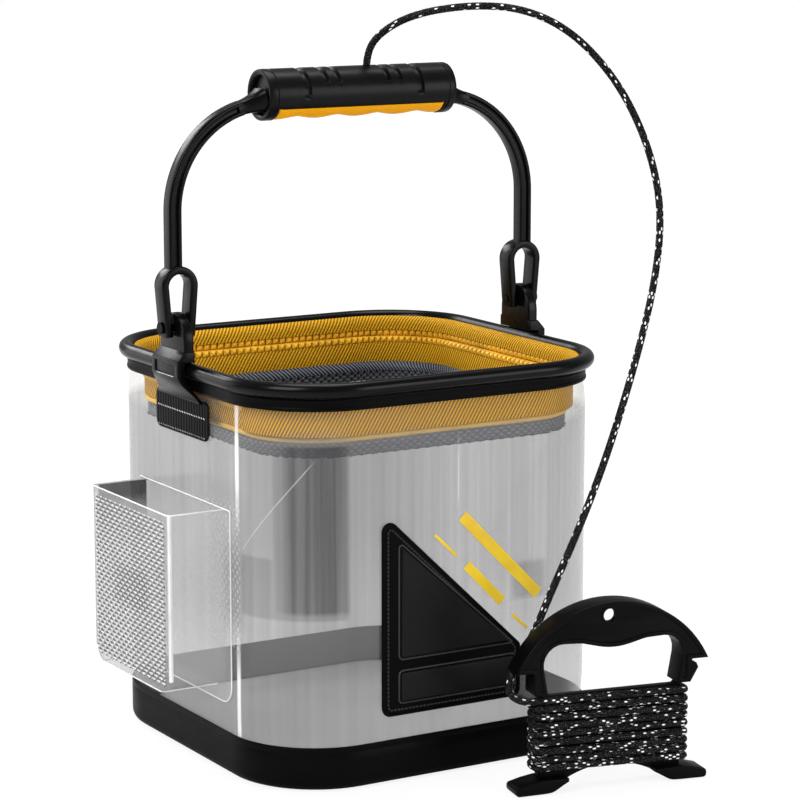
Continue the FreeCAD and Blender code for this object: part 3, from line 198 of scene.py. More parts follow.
def twill(name, slot, colour, pitch=2.1, dot=0.8, depth=0.5):
    """Ribbed twill: steep ridges of dotted yarn, with painted shade in the furrows"""
    finish = Finish(name, slot, Roughness=0.6, Specular_IOR_Level=0.1)
    along, across = finish.sheet_place()
    where = finish.point(along, across)
    ridge = finish.ridges(finish.math("MULTIPLY_ADD", across, -0.6, along), pitch)
    relief = finish.times(ridge, finish.between(finish.ridges(across, dot), 0.7, 1.0))
    # Painted shade: the colour falls to a sixth of itself in the furrows between the ridges
    shaded_tone = finish.mix(finish.step(relief, 0.12, 0.62), scaled(colour, 0.16), colour)
    fade = finish.between(finish.noise(where, 18.0), -0.1, 0.2)
    worn = finish.math("MULTIPLY_ADD", finish.noise(where, 0.5), 0.3, fade)
    finish.wear(Base_Color=finish.mix(worn, shaded_tone, scaled(colour, 0.55)), Normal=finish.bump(relief, depth))
    return finish


def pocket_wall(name, slot):
    """The pocket's film: clear at its near side, with painted shade greying its front, a painted dark patch
    on the front, and painted shade where its far side turns away
    """
    finish = Finish(name, slot, Roughness=0.14, Coat_Weight=0.3, Coat_Roughness=0.05)
    along, level = finish.sheet_place()
    far_edge = POCKET_DEPTH + POCKET_WIDTH
    clouds = finish.noise(finish.point(along, finish.times(level, 0.2)), 14.0, 3.0)
    front = finish.window(along, POCKET_DEPTH, far_edge, 1.0)
    # Painted shade: a dark patch on the front, and the top of the far side where it turns away
    patch = finish.zone(along, (53.0, 92.0, 4.0), level, (80.0, 101.0, 3.0))
    far = finish.times(finish.step(along, far_edge, far_edge + 2.0), finish.step(level, 95.0, 128.0))
    # Painted shade: the front is a darker grey than the near side
    grey = finish.mix(front, (0.55, 0.55, 0.555), (0.17, 0.17, 0.172))
    grey = finish.mix(finish.times(clouds, 0.3), grey, (0.8, 0.8, 0.8))
    dark = finish.math("MAXIMUM", far, finish.times(patch, 0.7))
    solid = finish.total((front, 0.30), (far, 0.68), (patch, 0.25), (clouds, 0.14), (1.0, 0.16))
    finish.wear(Base_Color=finish.mix(dark, grey, (0.02, 0.02, 0.02)),
                Alpha=finish.times(solid, finish.lit_through()), Normal=finish.bump(clouds, 0.4))
    return finish


def wall_film(name, slot):
    """The wall's film: smoke grey, with painted shade and painted highlights over a front corner"""
    finish = Finish(name, slot, Roughness=0.2, Coat_Weight=0.25, Coat_Roughness=0.04, Specular_IOR_Level=0.3)
    along, across = finish.sheet_place()
    level = finish.math("ADD", across, FILM_LOW)
    broad = finish.noise(finish.point(along, finish.times(level, 0.05)), 24.0)
    fine = finish.noise(finish.point(along, finish.times(level, 0.012)), 5.0, 3.0)
    scuffs = finish.noise(finish.point(along, level), 3.0, 4.0)

    # Painted shade: dark zones and streaks over the front and its left corner
    front = finish.window(along, -118.0, -20.0, 36.0)
    column_shade = finish.times(finish.zone(along, (-99.0, -59.8, 1.5), level, (88.0, 180.0, 2.5)),
                          finish.between(finish.step(along, -106.0, -86.0), 0.3, 1.0),
                          finish.between(fine, 0.30, 0.66))
    panel_shade = finish.zone(along, (-119.0, -60.5, 1.2), level, (86.0, 116.0, 0.8))
    right_shade = finish.zone(along, (35.0, 55.0, 2.0), level, (84.0, 103.0, 1.5))
    corner_shade = finish.zone(along, (-140.0, -120.0, 6.0), level, (76.0, 118.0, 9.0))
    # Painted shade: a streaked dark column over a fainter dark panel
    folded = finish.math("MAXIMUM", column_shade, finish.times(panel_shade, 0.24))
    shade = finish.total((front, 0.34), (folded, 1.0), (right_shade, 0.34), (corner_shade, 0.42),
                         (finish.step(fine, 0.35, 0.7), 0.18), (finish.step(broad, 0.3, 0.8), 0.14))

    # Painted highlights: bright lines and strips over the front and its corners, faint bright lozenges on the
    # left side, and faint scuffs
    corner_highlight = finish.times(finish.window(along, -125.0, -121.2, 0.7),
                        finish.between(finish.window(level, 66.0, 138.0, 14.0), 0.95, 0.05))
    slope = finish.math("MULTIPLY_ADD", level, 0.878, -222.0)
    off_slope = finish.math("SUBTRACT", along, slope)
    diagonal_highlight = finish.zone(off_slope, (-0.35, 0.35, 0.3), level, (118.0, 163.0, 3.0))
    line_highlight = finish.zone(along, (2.5, 3.5, 0.4), level, (135.0, 168.0, 8.0))
    # Painted highlight: a bright strip near the right corner
    corner = finish.window(along, 74.0, 118.0, 8.0)
    # Painted highlight: faint bright lozenges where the pocket's lattice lies in front of the left side
    lozenges = [finish.ridges(finish.math(operation, along, level), 4.8) for operation in ("ADD", "SUBTRACT")]
    lattice = finish.times(finish.zone(along, (-158.0, -121.0, 2.0), level, (64.0, 140.0, 3.0)),
                           finish.times(*lozenges))
    light = finish.total((corner_highlight, 1.0), (diagonal_highlight, 0.35), (line_highlight, 0.4), (corner, 0.3), (lattice, 0.3),
                         (finish.step(scuffs, 0.7, 0.9), 0.06))
    light = finish.math("MINIMUM", light, 1.0)

    # The film is clearer at its top, before the yellow band, and near the base
    top = finish.step(level, 171.5, 177.0)
    # Painted shade darkens the film's grey and makes it more opaque; painted highlights whiten it and make it
    # more opaque too
    grey = finish.mix(finish.math("MINIMUM", shade, 1.0), (0.26, 0.26, 0.265), (0.045, 0.045, 0.048))
    veiled = finish.mix(top, grey, (0.5, 0.46, 0.42))
    thick = finish.times(finish.math("MULTIPLY_ADD", shade, 0.5, 0.40), finish.between(top, 1.0, 0.2),
                         finish.between(finish.step(level, 34.0, 80.0), 0.66, 1.0))
    turned = finish.node("ShaderNodeLayerWeight", {"Blend": 0.3}, 1)
    solid = finish.total((thick, 1.0), (finish.math("POWER", turned, 3.0), 0.3), (light, 0.45))
    finish.wear(Base_Color=finish.mix(light, veiled, (0.95, 0.95, 0.95)),
                Alpha=finish.times(finish.math("MINIMUM", solid, 0.96), finish.lit_through()),
                Normal=finish.bump(broad, 0.5))
    return finish


def braided(name, slot):
    """Braided rope: dark strands crossing both ways, painted a little lighter where they lie on top, with
    painted glints and reflective flecks
    """
    finish = Finish(name, slot, Roughness=0.5, Specular_IOR_Level=0.06)
    along, around = finish.sheet_place()
    lays = finish.math("DIVIDE", along, ROPE_LAY)
    left = finish.math("MULTIPLY_ADD", around, ROPE_STRANDS, lays)
    right = finish.math("MULTIPLY_ADD", around, -ROPE_STRANDS, lays)
    over = finish.math("MAXIMUM", finish.ridges(left, 1.0), finish.ridges(right, 1.0))
    yarns = finish.ridges(finish.math("ADD", left, finish.times(right, 0.3)), 0.24)
    relief = finish.math("MULTIPLY_ADD", yarns, 0.12, over)
    cell = finish.point(finish.math("FLOOR", left), finish.math("FLOOR", right))
    chance = finish.node("ShaderNodeTexWhiteNoise", {"Vector": cell}, noise_dimensions="3D")
    inside = finish.times(*[finish.ridges(finish.math("ADD", way, 0.75), 1.0) for way in (left, right)])
    fleck = finish.times(finish.math("GREATER_THAN", chance, 0.79), finish.step(inside, 0.3, 0.45))
    # Painted light: the strands are a little lighter where they lie on top
    dark = finish.mix(over, (0.001, 0.001, 0.0012), (0.005, 0.005, 0.0055))
    # Painted glints: grey pricks along the strands
    pricks = finish.noise(finish.point(finish.times(along, 2.2), finish.times(around, 26.0)), 1.0)
    glint = finish.times(finish.step(pricks, 0.62, 0.68), 0.5)
    glinted = finish.mix(glint, dark, (0.5, 0.5, 0.5))
    finish.wear(Base_Color=finish.mix(fleck, glinted, (0.95, 0.95, 0.95)), Normal=finish.bump(relief, 0.35))
    return finish


def webbed(name, slot, colour, rib, pick=0.7):
    """Webbing: upright ribs crossed by fine picks, with painted shade between the ribs and painted light on
    their tops
    """
    finish = Finish(name, slot, Roughness=0.6, Specular_IOR_Level=0.06)
    along, across = finish.sheet_place()
    relief = finish.times(finish.ridges(along, rib), finish.between(finish.ridges(across, pick), 0.75, 1.0))
    # Painted shade and light: dark between the ribs and more than twice the colour on their tops
    shaded_tone = finish.mix(finish.step(relief, 0.2, 0.9), scaled(colour, 0.1), scaled(colour, 2.2))
    finish.wear(Base_Color=shaded_tone, Normal=finish.bump(relief, 0.35))
    return finish


def knotted(name, slot, dark, pale):
    """Net yarn: dark, with a paler painted highlight on the crests where a yarn passes over another"""
    finish = Finish(name, slot, Roughness=0.5, Specular_IOR_Level=0.25)
    crest, _ = finish.sheet_place()
    fuzz = finish.noise(finish.place(), 0.7, 3.0)
    # Painted highlight: the yarn turns to the pale colour on its crests
    lit_crests = finish.times(finish.step(crest, 0.05, 0.85), finish.between(fuzz, 0.5, 1.2))
    finish.wear(Base_Color=finish.mix(lit_crests, dark, pale), Normal=finish.bump(fuzz, 0.15))
    return finish


def crossed(name, slot, colour, spacing):
    """A lattice's ridges: pale between their crossings, with painted shade where they dip under one another
    """
    finish = Finish(name, slot, Roughness=0.3)
    where = finish.place()
    rise = finish.math("SUBTRACT", finish.axis(where, "Z"), LATTICE_MIDDLE + spacing / 2)
    uneven = finish.noise(where, 3.0, 3.0)
    # Painted shade: the ridges fall to a sixth of their colour at the crossings
    lit = finish.times(finish.step(finish.ridges(rise, spacing), 0.25, 0.8), finish.between(uneven, 0.5, 1.2))
    finish.wear(Base_Color=finish.mix(lit, scaled(colour, 0.16), colour), Normal=finish.bump(uneven, 0.1))
    return finish


def shaded_to_back(name, slot, near, far):
    """Soft sheet, pale at the front of the bucket, with painted shade darkening it towards the back"""
    finish = Finish(name, slot, Roughness=0.4, Specular_IOR_Level=0.2)
    where = finish.place()
    clouds = finish.noise(where, 30.0, 3.0)
    shift = finish.math("MULTIPLY_ADD", clouds, 30.0, finish.axis(where, "Y"))
    # Painted shade: from the near colour to the darker far one towards the back
    shaded_tone = finish.mix(finish.step(shift, 30.0, 120.0), near, far)
    finish.wear(Base_Color=shaded_tone, Normal=finish.bump(clouds, 0.3))
    return finish


def metal(name, slot, colour, roughness):
    """Brushed metal"""
    finish = Finish(name, slot, Metallic=1.0)
    drawn_out = {0: finish.place(), 1: (0.15, 1.0, 1.0)}
    brushed = finish.noise(finish.node("ShaderNodeVectorMath", drawn_out, operation="MULTIPLY"), 0.5, 3.0)
    finish.wear(Base_Color=finish.mix(brushed, scaled(colour, 0.7), colour),
                Roughness=finish.between(brushed, roughness - 0.06, roughness + 0.1),
                Normal=finish.bump(brushed, 0.01))
    return finish


BLACK = (0.0016, 0.0016, 0.0018)
AMBER = (0.92, 0.47, 0.016)
ROPE_DIAMETER, ROPE_STRANDS, ROPE_LAY = 3.8, 6.0, 4.2
FILM_LOW, FILM_HIGH = 2.3, 195.6
POCKET_DEPTH, POCKET_WIDTH = 30.8, 87.0
LATTICE_PITCH, LATTICE_SLOPE, LATTICE_MIDDLE = 5.6, 0.75, 89.75
black_plastic = moulded("black_plastic_grained", "black_plastic", BLACK, 0.42, specular=0.045)
black_gloss = moulded("black_gloss_moulded", "black_gloss", BLACK, 0.24, grain=1.2, depth=0.01, specular=0.12)
black_satin = moulded("black_satin_moulded", "black_satin", BLACK, 0.34, specular=0.07)
black_foam = moulded("black_foam_skin", "black_foam", BLACK, 0.45, grain=0.9, depth=0.04, specular=0.04)
# A lighter copy of the same foam: painted light on the raised panels
black_panel = moulded("black_panel_skin", "black_foam", scaled(BLACK, 3.0), 0.36, grain=0.9, specular=0.12)
# A grey that paints the highlight on the rolled lips; the patch's stitches take it too
lip_highlight = moulded("black_lip_highlight", "black_foam", scaled(BLACK, 18.0), 0.4, grain=0.9, specular=0.2)
black_webbing = webbed("black_webbing_ribbed", "black_webbing", (0.005, 0.005, 0.0053), 2.9)
# A lighter copy of the black plastic: painted light on the grip
black_grip = moulded("black_grip_soft", "black_plastic", scaled(BLACK, 2.0), 0.32, grain=0.5, specular=0.11)
black_bracket = moulded("black_bracket_smooth", "black_plastic", BLACK, 0.28, grain=0.8, depth=0.01,
                        specular=0.12)
yellow_cloth = twill("yellow_twill", "yellow_cloth", AMBER)
orange_piping = moulded("orange_piping_cord", "orange_piping", (0.95, 0.47, 0.07), 0.5, grain=0.8, depth=0.15)
# The net's pale colour is its painted highlight on the crests
net_yarn = knotted("net_yarn", "grey_net", (0.004, 0.0045, 0.006), (0.24, 0.27, 0.33))
zip_yellow = moulded("zip_teeth_moulded", "zip_teeth", (0.72, 0.38, 0.025), 0.42, specular=0.15)
zip_metal = moulded("zip_metal_painted", "zip_metal", (0.03, 0.03, 0.03), 0.3, specular=0.4)
steel = metal("steel_brushed", "steel", (0.5, 0.5, 0.52), 0.28)
yellow_rubber = moulded("yellow_rubber_soft", "yellow_rubber", (0.96, 0.42, 0.008), 0.5, grain=0.4,
                        specular=0.05, mottle=(0.9, 1.04))
rope_braid = braided("rope_braid", "rope")
film = wall_film("film_clear", "clear_film")
pocket_film = pocket_wall("pocket_clear", "clear_film")
# Light grey rods painted as the bright highlights along the clear pocket's edges
film_edge_highlight = moulded("film_edge_highlight", "clear_film", (0.78, 0.78, 0.78), 0.2, specular=0.5)
lattice_ridge = crossed("lattice_ridge", "white_ink", (0.85, 0.85, 0.85), LATTICE_PITCH * LATTICE_SLOPE / 2)
# The floor sheet's darker far colour is painted shade at the back of the bucket
floor_film = shaded_to_back("floor_sheet_grey", "grey_sheet", (0.78, 0.78, 0.78), (0.5, 0.5, 0.503))
white_thread = moulded("white_thread", "white_ink", (0.8, 0.8, 0.8), 0.5, grain=0.3)
yellow_print = moulded("yellow_print", "yellow_cloth", (0.92, 0.50, 0.012), 0.4)


# Meshes


def dress(name, mesh, finish, body=None, node=None, sharp=40.0, corners=None):
    """A piece with its material, the solid that it stands for and the body that it rides on"""
    if corners is not None:
        layer = mesh.uv_layers.new(name="distances")
        layer.data.foreach_set("uv", [value for corner in corners for value in corner])
    mesh.shade_smooth()
    mesh.set_sharp_from_angle(angle=math.radians(sharp))
    mesh.materials.clear()
    mesh.materials.append(finish.material)
    piece = placed(name, mesh)
    if node is not None:
        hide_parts(node)
    if body is not None:
        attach(piece, body)
    return piece


class Shape:
    """Vertices, faces and distances collected from several grids"""

    def __init__(self):
        self.vertices = []
        self.faces = []
        self.corners = []

    def grid(self, rows, distance=None, wrap_rows=False, wrap_columns=False, flip=False):
        first = len(self.vertices)
        height, width = len(rows), len(rows[0])
        self.vertices.extend(point for row in rows for point in row)
        for i in range(height if wrap_rows else height - 1):
            for j in range(width if wrap_columns else width - 1):
                square = [(i, j), (i + 1, j), (i + 1, j + 1), (i, j + 1)]
                if flip:
                    square.reverse()
                self.faces.append([first + (a % height) * width + b % width for a, b in square])
                self.corners.extend(distance(a, b) if distance else (a, b) for a, b in square)
        return first

    def cap(self, indices):
        self.faces.append(list(indices))
        self.corners.extend((0.0, 0.0) for _ in indices)

    def ends(self, rows, first=0, flip=False):
        """Caps on the first and last row of a grid"""
        width = len(rows[0])
        last = first + (len(rows) - 1) * width
        for indices in (range(first, first + width), range(last, last + width)[::-1]):
            self.cap(indices[::-1] if flip else indices)

    def mesh(self, name):
        made = bpy.data.meshes.new(name)
        made.from_pydata([[value * MM for value in vertex] for vertex in self.vertices], [], self.faces)
        return made

    def piece(self, name, finish, body=None, node=None, sharp=40.0):
        return dress(name, self.mesh(name), finish, body, node, sharp, self.corners)


def running(points):
    """Distance travelled at each point of a line"""
    total = [0.0]
    for before, after in zip(points, points[1:]):
        total.append(total[-1] + (Vector(after) - Vector(before)).length)
    return total


def arc(centre, radius, start, end, steps):
    """Points of an arc in a plane, its angles in degrees"""
    turns = [math.radians(start + (end - start) * k / steps) for k in range(steps + 1)]
    return [(centre[0] + radius * math.cos(turn), centre[1] + radius * math.sin(turn)) for turn in turns]


def circle(x, y, radius, steps=20, start=0):
    return arc((x, y), radius, start, start + 360, steps)[:-1]


def edges_at(corners, number):
    """A corner's place, the directions of its edges back and ahead, and half the angle between them"""
    here, before = Vector(corners[number][:2]), Vector(corners[number - 1][:2])
    after = Vector(corners[(number + 1) % len(corners)][:2])
    back, ahead = (before - here).normalized(), (after - here).normalized()
    return here, back, ahead, back.angle(ahead) / 2


def rounded_outline(corners, steps=5):
    """A closed outline from corners (x, y, radius)"""
    outline = []
    for number, (x, y, radius) in enumerate(corners):
        if radius == 0:
            outline.append((x, y))
            continue
        here, back, ahead, half = edges_at(corners, number)
        centre = here + (back + ahead).normalized() * (radius / math.sin(half))
        first = here + back * (radius / math.tan(half)) - centre
        last = here + ahead * (radius / math.tan(half)) - centre
        begin = math.atan2(first.y, first.x)
        turn = (math.atan2(last.y, last.x) - begin + math.pi) % (2 * math.pi) - math.pi
        outline.extend((centre.x + radius * math.cos(begin + turn * k / steps),
                        centre.y + radius * math.sin(begin + turn * k / steps)) for k in range(steps + 1))
    return outline


def drawn_in(corners, inset):
    """Corners moved inward from a convex outline's edges"""
    moved = []
    for number, (_, _, radius) in enumerate(corners):
        here, back, ahead, half = edges_at(corners, number)
        place = here + (back + ahead).normalized() * (inset / math.sin(half))
        moved.append((place.x, place.y, max(0.4, radius - inset)))
    return moved


def rectangle(left, right, low, high, radius, steps=2, top=None):
    """A rounded rectangle, whose top corners may have a radius of their own"""
    upper = radius if top is None else top
    corners = [(left, low, radius), (right, low, radius), (right, high, upper), (left, high, upper)]
    return rounded_outline(corners, steps)


# Loops round the bucket: every one is the same square core, offset

CORE = 52.0
WALL = 100.0
SIDE = 2 * CORE
CORNER = (WALL - CORE) * math.pi / 2
LAP = 4 * (SIDE + CORNER)
FOLD = CORE + CORNER * 0.967
STEP = 4.0


def around(distance, half, z):
    """The point at a distance round the wall, from the middle of the front, on the loop of that half width"""
    quarter, along = divmod((distance + CORE) % LAP, SIDE + CORNER)
    turn = max(0.0, along - SIDE) / (WALL - CORE)
    reach = half - CORE
    x = min(along, SIDE) - CORE + reach * math.sin(turn)
    y = -CORE - reach * math.cos(turn)
    for _ in range(int(quarter)):
        x, y = -y, x
    return (x, y, z)


def sweep(shape, profile, start=0.0, end=LAP, step=STEP, closed=False, dent=None, mark=None):
    """A profile of (half width, level) carried round the bucket, with distances or one mark in their place"""
    whole = abs(end - start - LAP) < 1e-6
    count = round((end - start) / step)
    stations = [start + (end - start) * i / count for i in range(count + 1)]
    rows = []
    for distance in stations[:-1] if whole else stations:
        rows.append([around(distance, half - (dent(distance, z) if dent else 0.0), z) for half, z in profile])
    across = running(profile + profile[:1] if closed else profile)
    first = shape.grid(rows, lambda i, j: (stations[i] if mark is None else mark, across[j]),
                       wrap_rows=whole, wrap_columns=closed)
    if closed and not whole:
        shape.ends(rows, first)
    return shape


def ring_piece(name, finish, profile, body, node, **options):
    return sweep(Shape(), profile, **options).piece(name, finish, body, node)


def mesh_of(curve):
    """The mesh that Blender makes of a curve, which is then removed"""
    holder = placed("curve", curve)
    bpy.context.view_layer.update()
    mesh = bpy.data.meshes.new_from_object(holder)
    bpy.data.objects.remove(holder)
    bpy.data.curves.remove(curve)
    return mesh


def extruded(outlines, thickness, bevel, place, resolution=2):
    """A plate of the given outlines with rounded edges, its middle plane set by a matrix"""
    curve = bpy.data.curves.new("outline", "CURVE")
    curve.dimensions = "2D"
    curve.fill_mode = "BOTH"
    curve.extrude = (thickness / 2 - bevel) * MM
    curve.bevel_depth = bevel * MM
    curve.bevel_resolution = resolution
    curve.offset = -bevel * MM
    for outline in outlines:
        spline = curve.splines.new("POLY")
        spline.points.add(len(outline) - 1)
        for point, (x, y) in zip(spline.points, outline):
            point.co = (x * MM, y * MM, 0.0, 1.0)
        spline.use_cyclic_u = True
    mesh = mesh_of(curve)
    work = bmesh.new()
    work.from_mesh(mesh)
    bmesh.ops.remove_doubles(work, verts=work.verts, dist=1e-6)
    bmesh.ops.recalc_face_normals(work, faces=work.faces)
    work.to_mesh(mesh)
    work.free()
    mesh.transform(place)
    return mesh


def facing(origin, right, up):
    """A matrix that stands a drawing up: its x along right, its y along up, origin in millimetres"""
    x, y = Vector(right).normalized(), Vector(up).normalized()
    turn = Matrix((x, y, x.cross(y))).transposed().to_4x4()
    return Matrix.Translation(Vector(origin) * MM) @ turn


def joined(meshes):
    """One mesh from several"""
    work = bmesh.new()
    for mesh in meshes:
        work.from_mesh(mesh)
        bpy.data.meshes.remove(mesh)
    made = bpy.data.meshes.new("joined")
    work.to_mesh(made)
    work.free()
    return made


def tube(shape, line, section, closed=False, flip=False):
    """A section of (outward, sideways) points carried along a line of (place, outward, sideways)"""
    rows = []
    for place, outward, sideways in line:
        rows.append([tuple(place + outward * a + sideways * b) for a, b in section])
    along = running([place for place, _, _ in line])
    girth = running(section + section[:1])
    first = shape.grid(rows, lambda i, j: (along[min(i, len(along) - 1)], girth[j]), wrap_columns=True,
                       wrap_rows=closed, flip=flip)
    if not closed:
        shape.ends(rows, first, flip)
    return shape


def carried(points, closed=False):
    """Directions across a line, turned as little as possible from point to point"""
    points = [Vector(point) for point in points]
    count = len(points)
    headings = []
    for k in range(count):
        ahead = points[(k + 1) % count] if closed else points[min(k + 1, count - 1)]
        back = points[k - 1] if closed else points[max(k - 1, 0)]
        headings.append((ahead - back).normalized())
    side = headings[0].orthogonal().normalized()
    line = []
    for point, heading in zip(points, headings):
        side = (side - heading * side.dot(heading)).normalized()
        line.append((point, side, heading.cross(side)))
    return line


def rod(shape, points, radius, closed=False, sides=8):
    return tube(shape, carried(points, closed), circle(0.0, 0.0, radius, sides), closed=closed)


# Rope: the free stretch from the grip to the winder, and the turns on the winder

WINDER_PLACE = (55.2, -154.4)
WINDER_TURN = math.radians(-11.3)
WINDER_RIGHT = Vector((math.cos(WINDER_TURN), math.sin(WINDER_TURN), 0.0))
ROPE_ROUTE = [
    (7.6, 0.0, 342.6),
    (7.6, -0.3, 353.0),
    (10.6, -7.8, 363.5),
    (23.5, -20.0, 373.5),
    (49.5, -33.0, 378.0),
    (76.0, -42.0, 376.0),
    (99.0, -51.0, 364.5),
    (118.0, -60.0, 343.0),
    (130.5, -67.5, 318.0),
    (136.0, -76.0, 291.0),
    (132.3, -86.1, 266.8),
    (121.5, -96.3, 239.2),
    (106.3, -106.6, 211.7),
    (88.6, -116.1, 180.9),
    (70.2, -124.7, 151.0),
    (50.5, -131.1, 120.6),
    (34.3, -133.9, 95.0),
    (25.5, -135.1, 79.5),
    (18.6, -135.5, 69.0),
]
ENTRY = (-45.2, -9.5, 60.5)
LOOSE_TURN = [(-50.4, -7.6, 53.6), (-51.2, -1.0, 49.2), (-47.0, 4.4, 47.2), (-41.0, 5.05, 47.0)]
RUN_HALF, RUN_SIDE = 35.0, 5.05
TURNS, TURN_PITCH, TURN_TOP = 9, 4.25, 47.0
BRAID_STEP, BRAID_SIDES = 1.05, 14


def at_winder(u, front, z):
    """A point of the winder: along it, to its front, and up"""
    ahead = Vector((WINDER_RIGHT.y, -WINDER_RIGHT.x, 0.0))
    return tuple(Vector((*WINDER_PLACE, z)) + WINDER_RIGHT * u + ahead * front)


def winding_route():
    """The turns on the winder: along its front, round an end and back, with a little slack"""
    route = [ENTRY, *LOOSE_TURN]
    there = [(-RUN_HALF, 1), (-RUN_HALF / 3, 1), (RUN_HALF / 3, 1), (RUN_HALF, 1),
             (RUN_HALF + RUN_SIDE, 1), (RUN_HALF + RUN_SIDE, -1)]
    lap = there + [(-u, -side) for u, side in there]
    for turn in range(TURNS):
        for step, (u, side) in enumerate(lap):
            slack = 0.35 * math.sin(2.3 * turn + 0.9 * step)
            sag = 0.25 * math.sin(1.7 * turn + 0.5 * step)
            level = TURN_TOP - TURN_PITCH * (turn + step / len(lap)) + sag
            route.append((u, side * (RUN_SIDE + 0.2 + slack * 0.5), level))
    return [at_winder(*point) for point in route[:-2]]


def smooth_line(points):
    """The points that Blender gives along a smooth curve through the route, in millimetres"""
    curve = bpy.data.curves.new("route", "CURVE")
    curve.dimensions = "3D"
    curve.resolution_u = 16
    spline = curve.splines.new("NURBS")
    spline.points.add(len(points) - 1)
    for place, point in zip(spline.points, points):
        place.co = (*[value * MM for value in point], 1.0)
    spline.order_u = 3
    spline.use_endpoint_u = True
    mesh = mesh_of(curve)
    line = [vertex.co / MM for vertex in mesh.vertices]
    bpy.data.meshes.remove(mesh)
    return line


def evenly(line, step):
    """The same line with points a step apart"""
    travelled = running(line)
    count = max(2, round(travelled[-1] / step))
    points = []
    place = 0
    for k in range(count + 1):
        goal = travelled[-1] * k / count
        while place < len(line) - 2 and travelled[place + 1] < goal:
            place += 1
        share = (goal - travelled[place]) / (travelled[place + 1] - travelled[place])
        points.append(Vector(line[place]).lerp(Vector(line[place + 1]), share))
    return points


def rope_piece(name, route, node):
    """A braided tube on a route, raised where strands cross both ways, and its path in metres"""
    points = evenly(smooth_line(route), BRAID_STEP)
    travelled = running(points)
    rows = []
    for (place, outward, sideways), travel in zip(carried(points), travelled):
        row = []
        for k in range(BRAID_SIDES):
            share = k / BRAID_SIDES
            strand = max(math.sin(2 * math.pi * (ROPE_STRANDS * share + travel / ROPE_LAY)),
                         math.sin(2 * math.pi * (travel / ROPE_LAY - ROPE_STRANDS * share)))
            radius = ROPE_DIAMETER / 2 * (0.97 + 0.05 * strand)
            turn = 2 * math.pi * share
            row.append(tuple(place + (outward * math.cos(turn) + sideways * math.sin(turn)) * radius))
        rows.append(row)
    shape = Shape()
    shape.grid(rows, lambda i, j: (travelled[i], j / BRAID_SIDES), wrap_columns=True)
    shape.ends(rows)
    path = [tuple(value * MM for value in point) for point in points]
    return shape.piece(name, rope_braid, None, node, sharp=70.0), path


rope_free, free_path = rope_piece("rope_free_braid", ROPE_ROUTE + [at_winder(*ENTRY)], "rope_free")
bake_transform(rope_free)
rope_turns, turns_path = rope_piece("rope_turns_braid", winding_route(), "rope_winding")
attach(rope_turns, UPPER)

# Base tray, floor sheet and film wall

BASE_HEIGHT, BASE_FLOOR = 22.2, 2.0
base_profile = ([(70.0, 0.0), (94.0, 0.0)] + arc((95.0, 5.0), 5.0, -90, 0, 6)
                + [(WALL, 14.0), (WALL, 18.6), (99.75, 19.0), (99.75, 19.3), (WALL, 19.7), (WALL, 21.4)]
                + arc((99.4, 21.6), 0.6, 0, 90, 3)
                + [(98.9, BASE_HEIGHT), (98.9, 6.0), (97.9, BASE_FLOOR), (70.0, BASE_FLOOR)])
base = sweep(Shape(), base_profile)
ring = len(base_profile)
stations = round(LAP / STEP)
base.cap([k * ring for k in reversed(range(stations))])
base.cap([k * ring + ring - 1 for k in range(stations)])
base.piece("base_tray_moulded", black_plastic, BASE, "base_tray")

floor_profile = [(60.0, 2.5), (80.0, 2.4), (95.0, 2.4), (97.4, 2.6)]
floor_shape = sweep(Shape(), floor_profile)
floor_shape.cap([k * len(floor_profile) for k in reversed(range(stations))])
floor_piece = floor_shape.piece("floor_sheet_laid", floor_film, BASE, "floor_sheet")

FILM_HALF, FILM_ROWS = 98.3, 30
WELD_LOW, WELD_HIGH, WELD_FADE = 23.0, 188.0, 8.0


def film_dent(distance, z):
    """Soft upright waves and corners that stand out a little, none at the welds to the base and the rim"""
    free = max(0.0, min(1.0, (z - WELD_LOW) / WELD_FADE, (WELD_HIGH - z) / WELD_FADE))
    wave = math.sin(distance * 0.061) + 0.6 * math.sin(distance * 0.143 + z * 0.011)
    past = max(0.0, (distance + CORE) % (SIDE + CORNER) - SIDE)
    return free * (0.06 * (wave + 1.6) - 1.5 * math.sin(math.pi * past / CORNER))


film_profile = [(FILM_HALF, FILM_LOW + (FILM_HIGH - FILM_LOW) * k / FILM_ROWS) for k in range(FILM_ROWS + 1)]
film_wall = ring_piece("film_wall_sheet", film, film_profile, UPPER, "film_wall", start=-LAP / 2,
                       end=LAP / 2, step=3.0, dent=film_dent)

# Rim: bead and band

BEAD_PATH, BEAD_LEVEL, BEAD_RADIUS = 100.2, 199.8, 3.9
BAND_IN, BAND_LOW, BAND_HIGH = 98.8, 189.5, 195.6
bead_profile = circle(BEAD_PATH, BEAD_LEVEL, BEAD_RADIUS, 28, -90)
ring_piece("rim_bead_rolled", black_gloss, bead_profile, UPPER, "rim_bead", step=3.0, closed=True)
band_profile = rounded_outline([(BAND_IN, BAND_LOW, 0.3), (WALL, BAND_LOW, 0.5), (WALL, 191.0, 0.3),
                                (99.7, 191.4, 0.3), (99.7, 194.0, 0.3), (WALL, 194.4, 0.3),
                                (WALL, BAND_HIGH, 0.4), (BAND_IN, BAND_HIGH, 0.3)], 2)
ring_piece("rim_band_welded", black_plastic, band_profile, UPPER, "rim_band", closed=True)

# Collar, bands of yellow cloth and piping; the apron's band laps outside the lid's ends

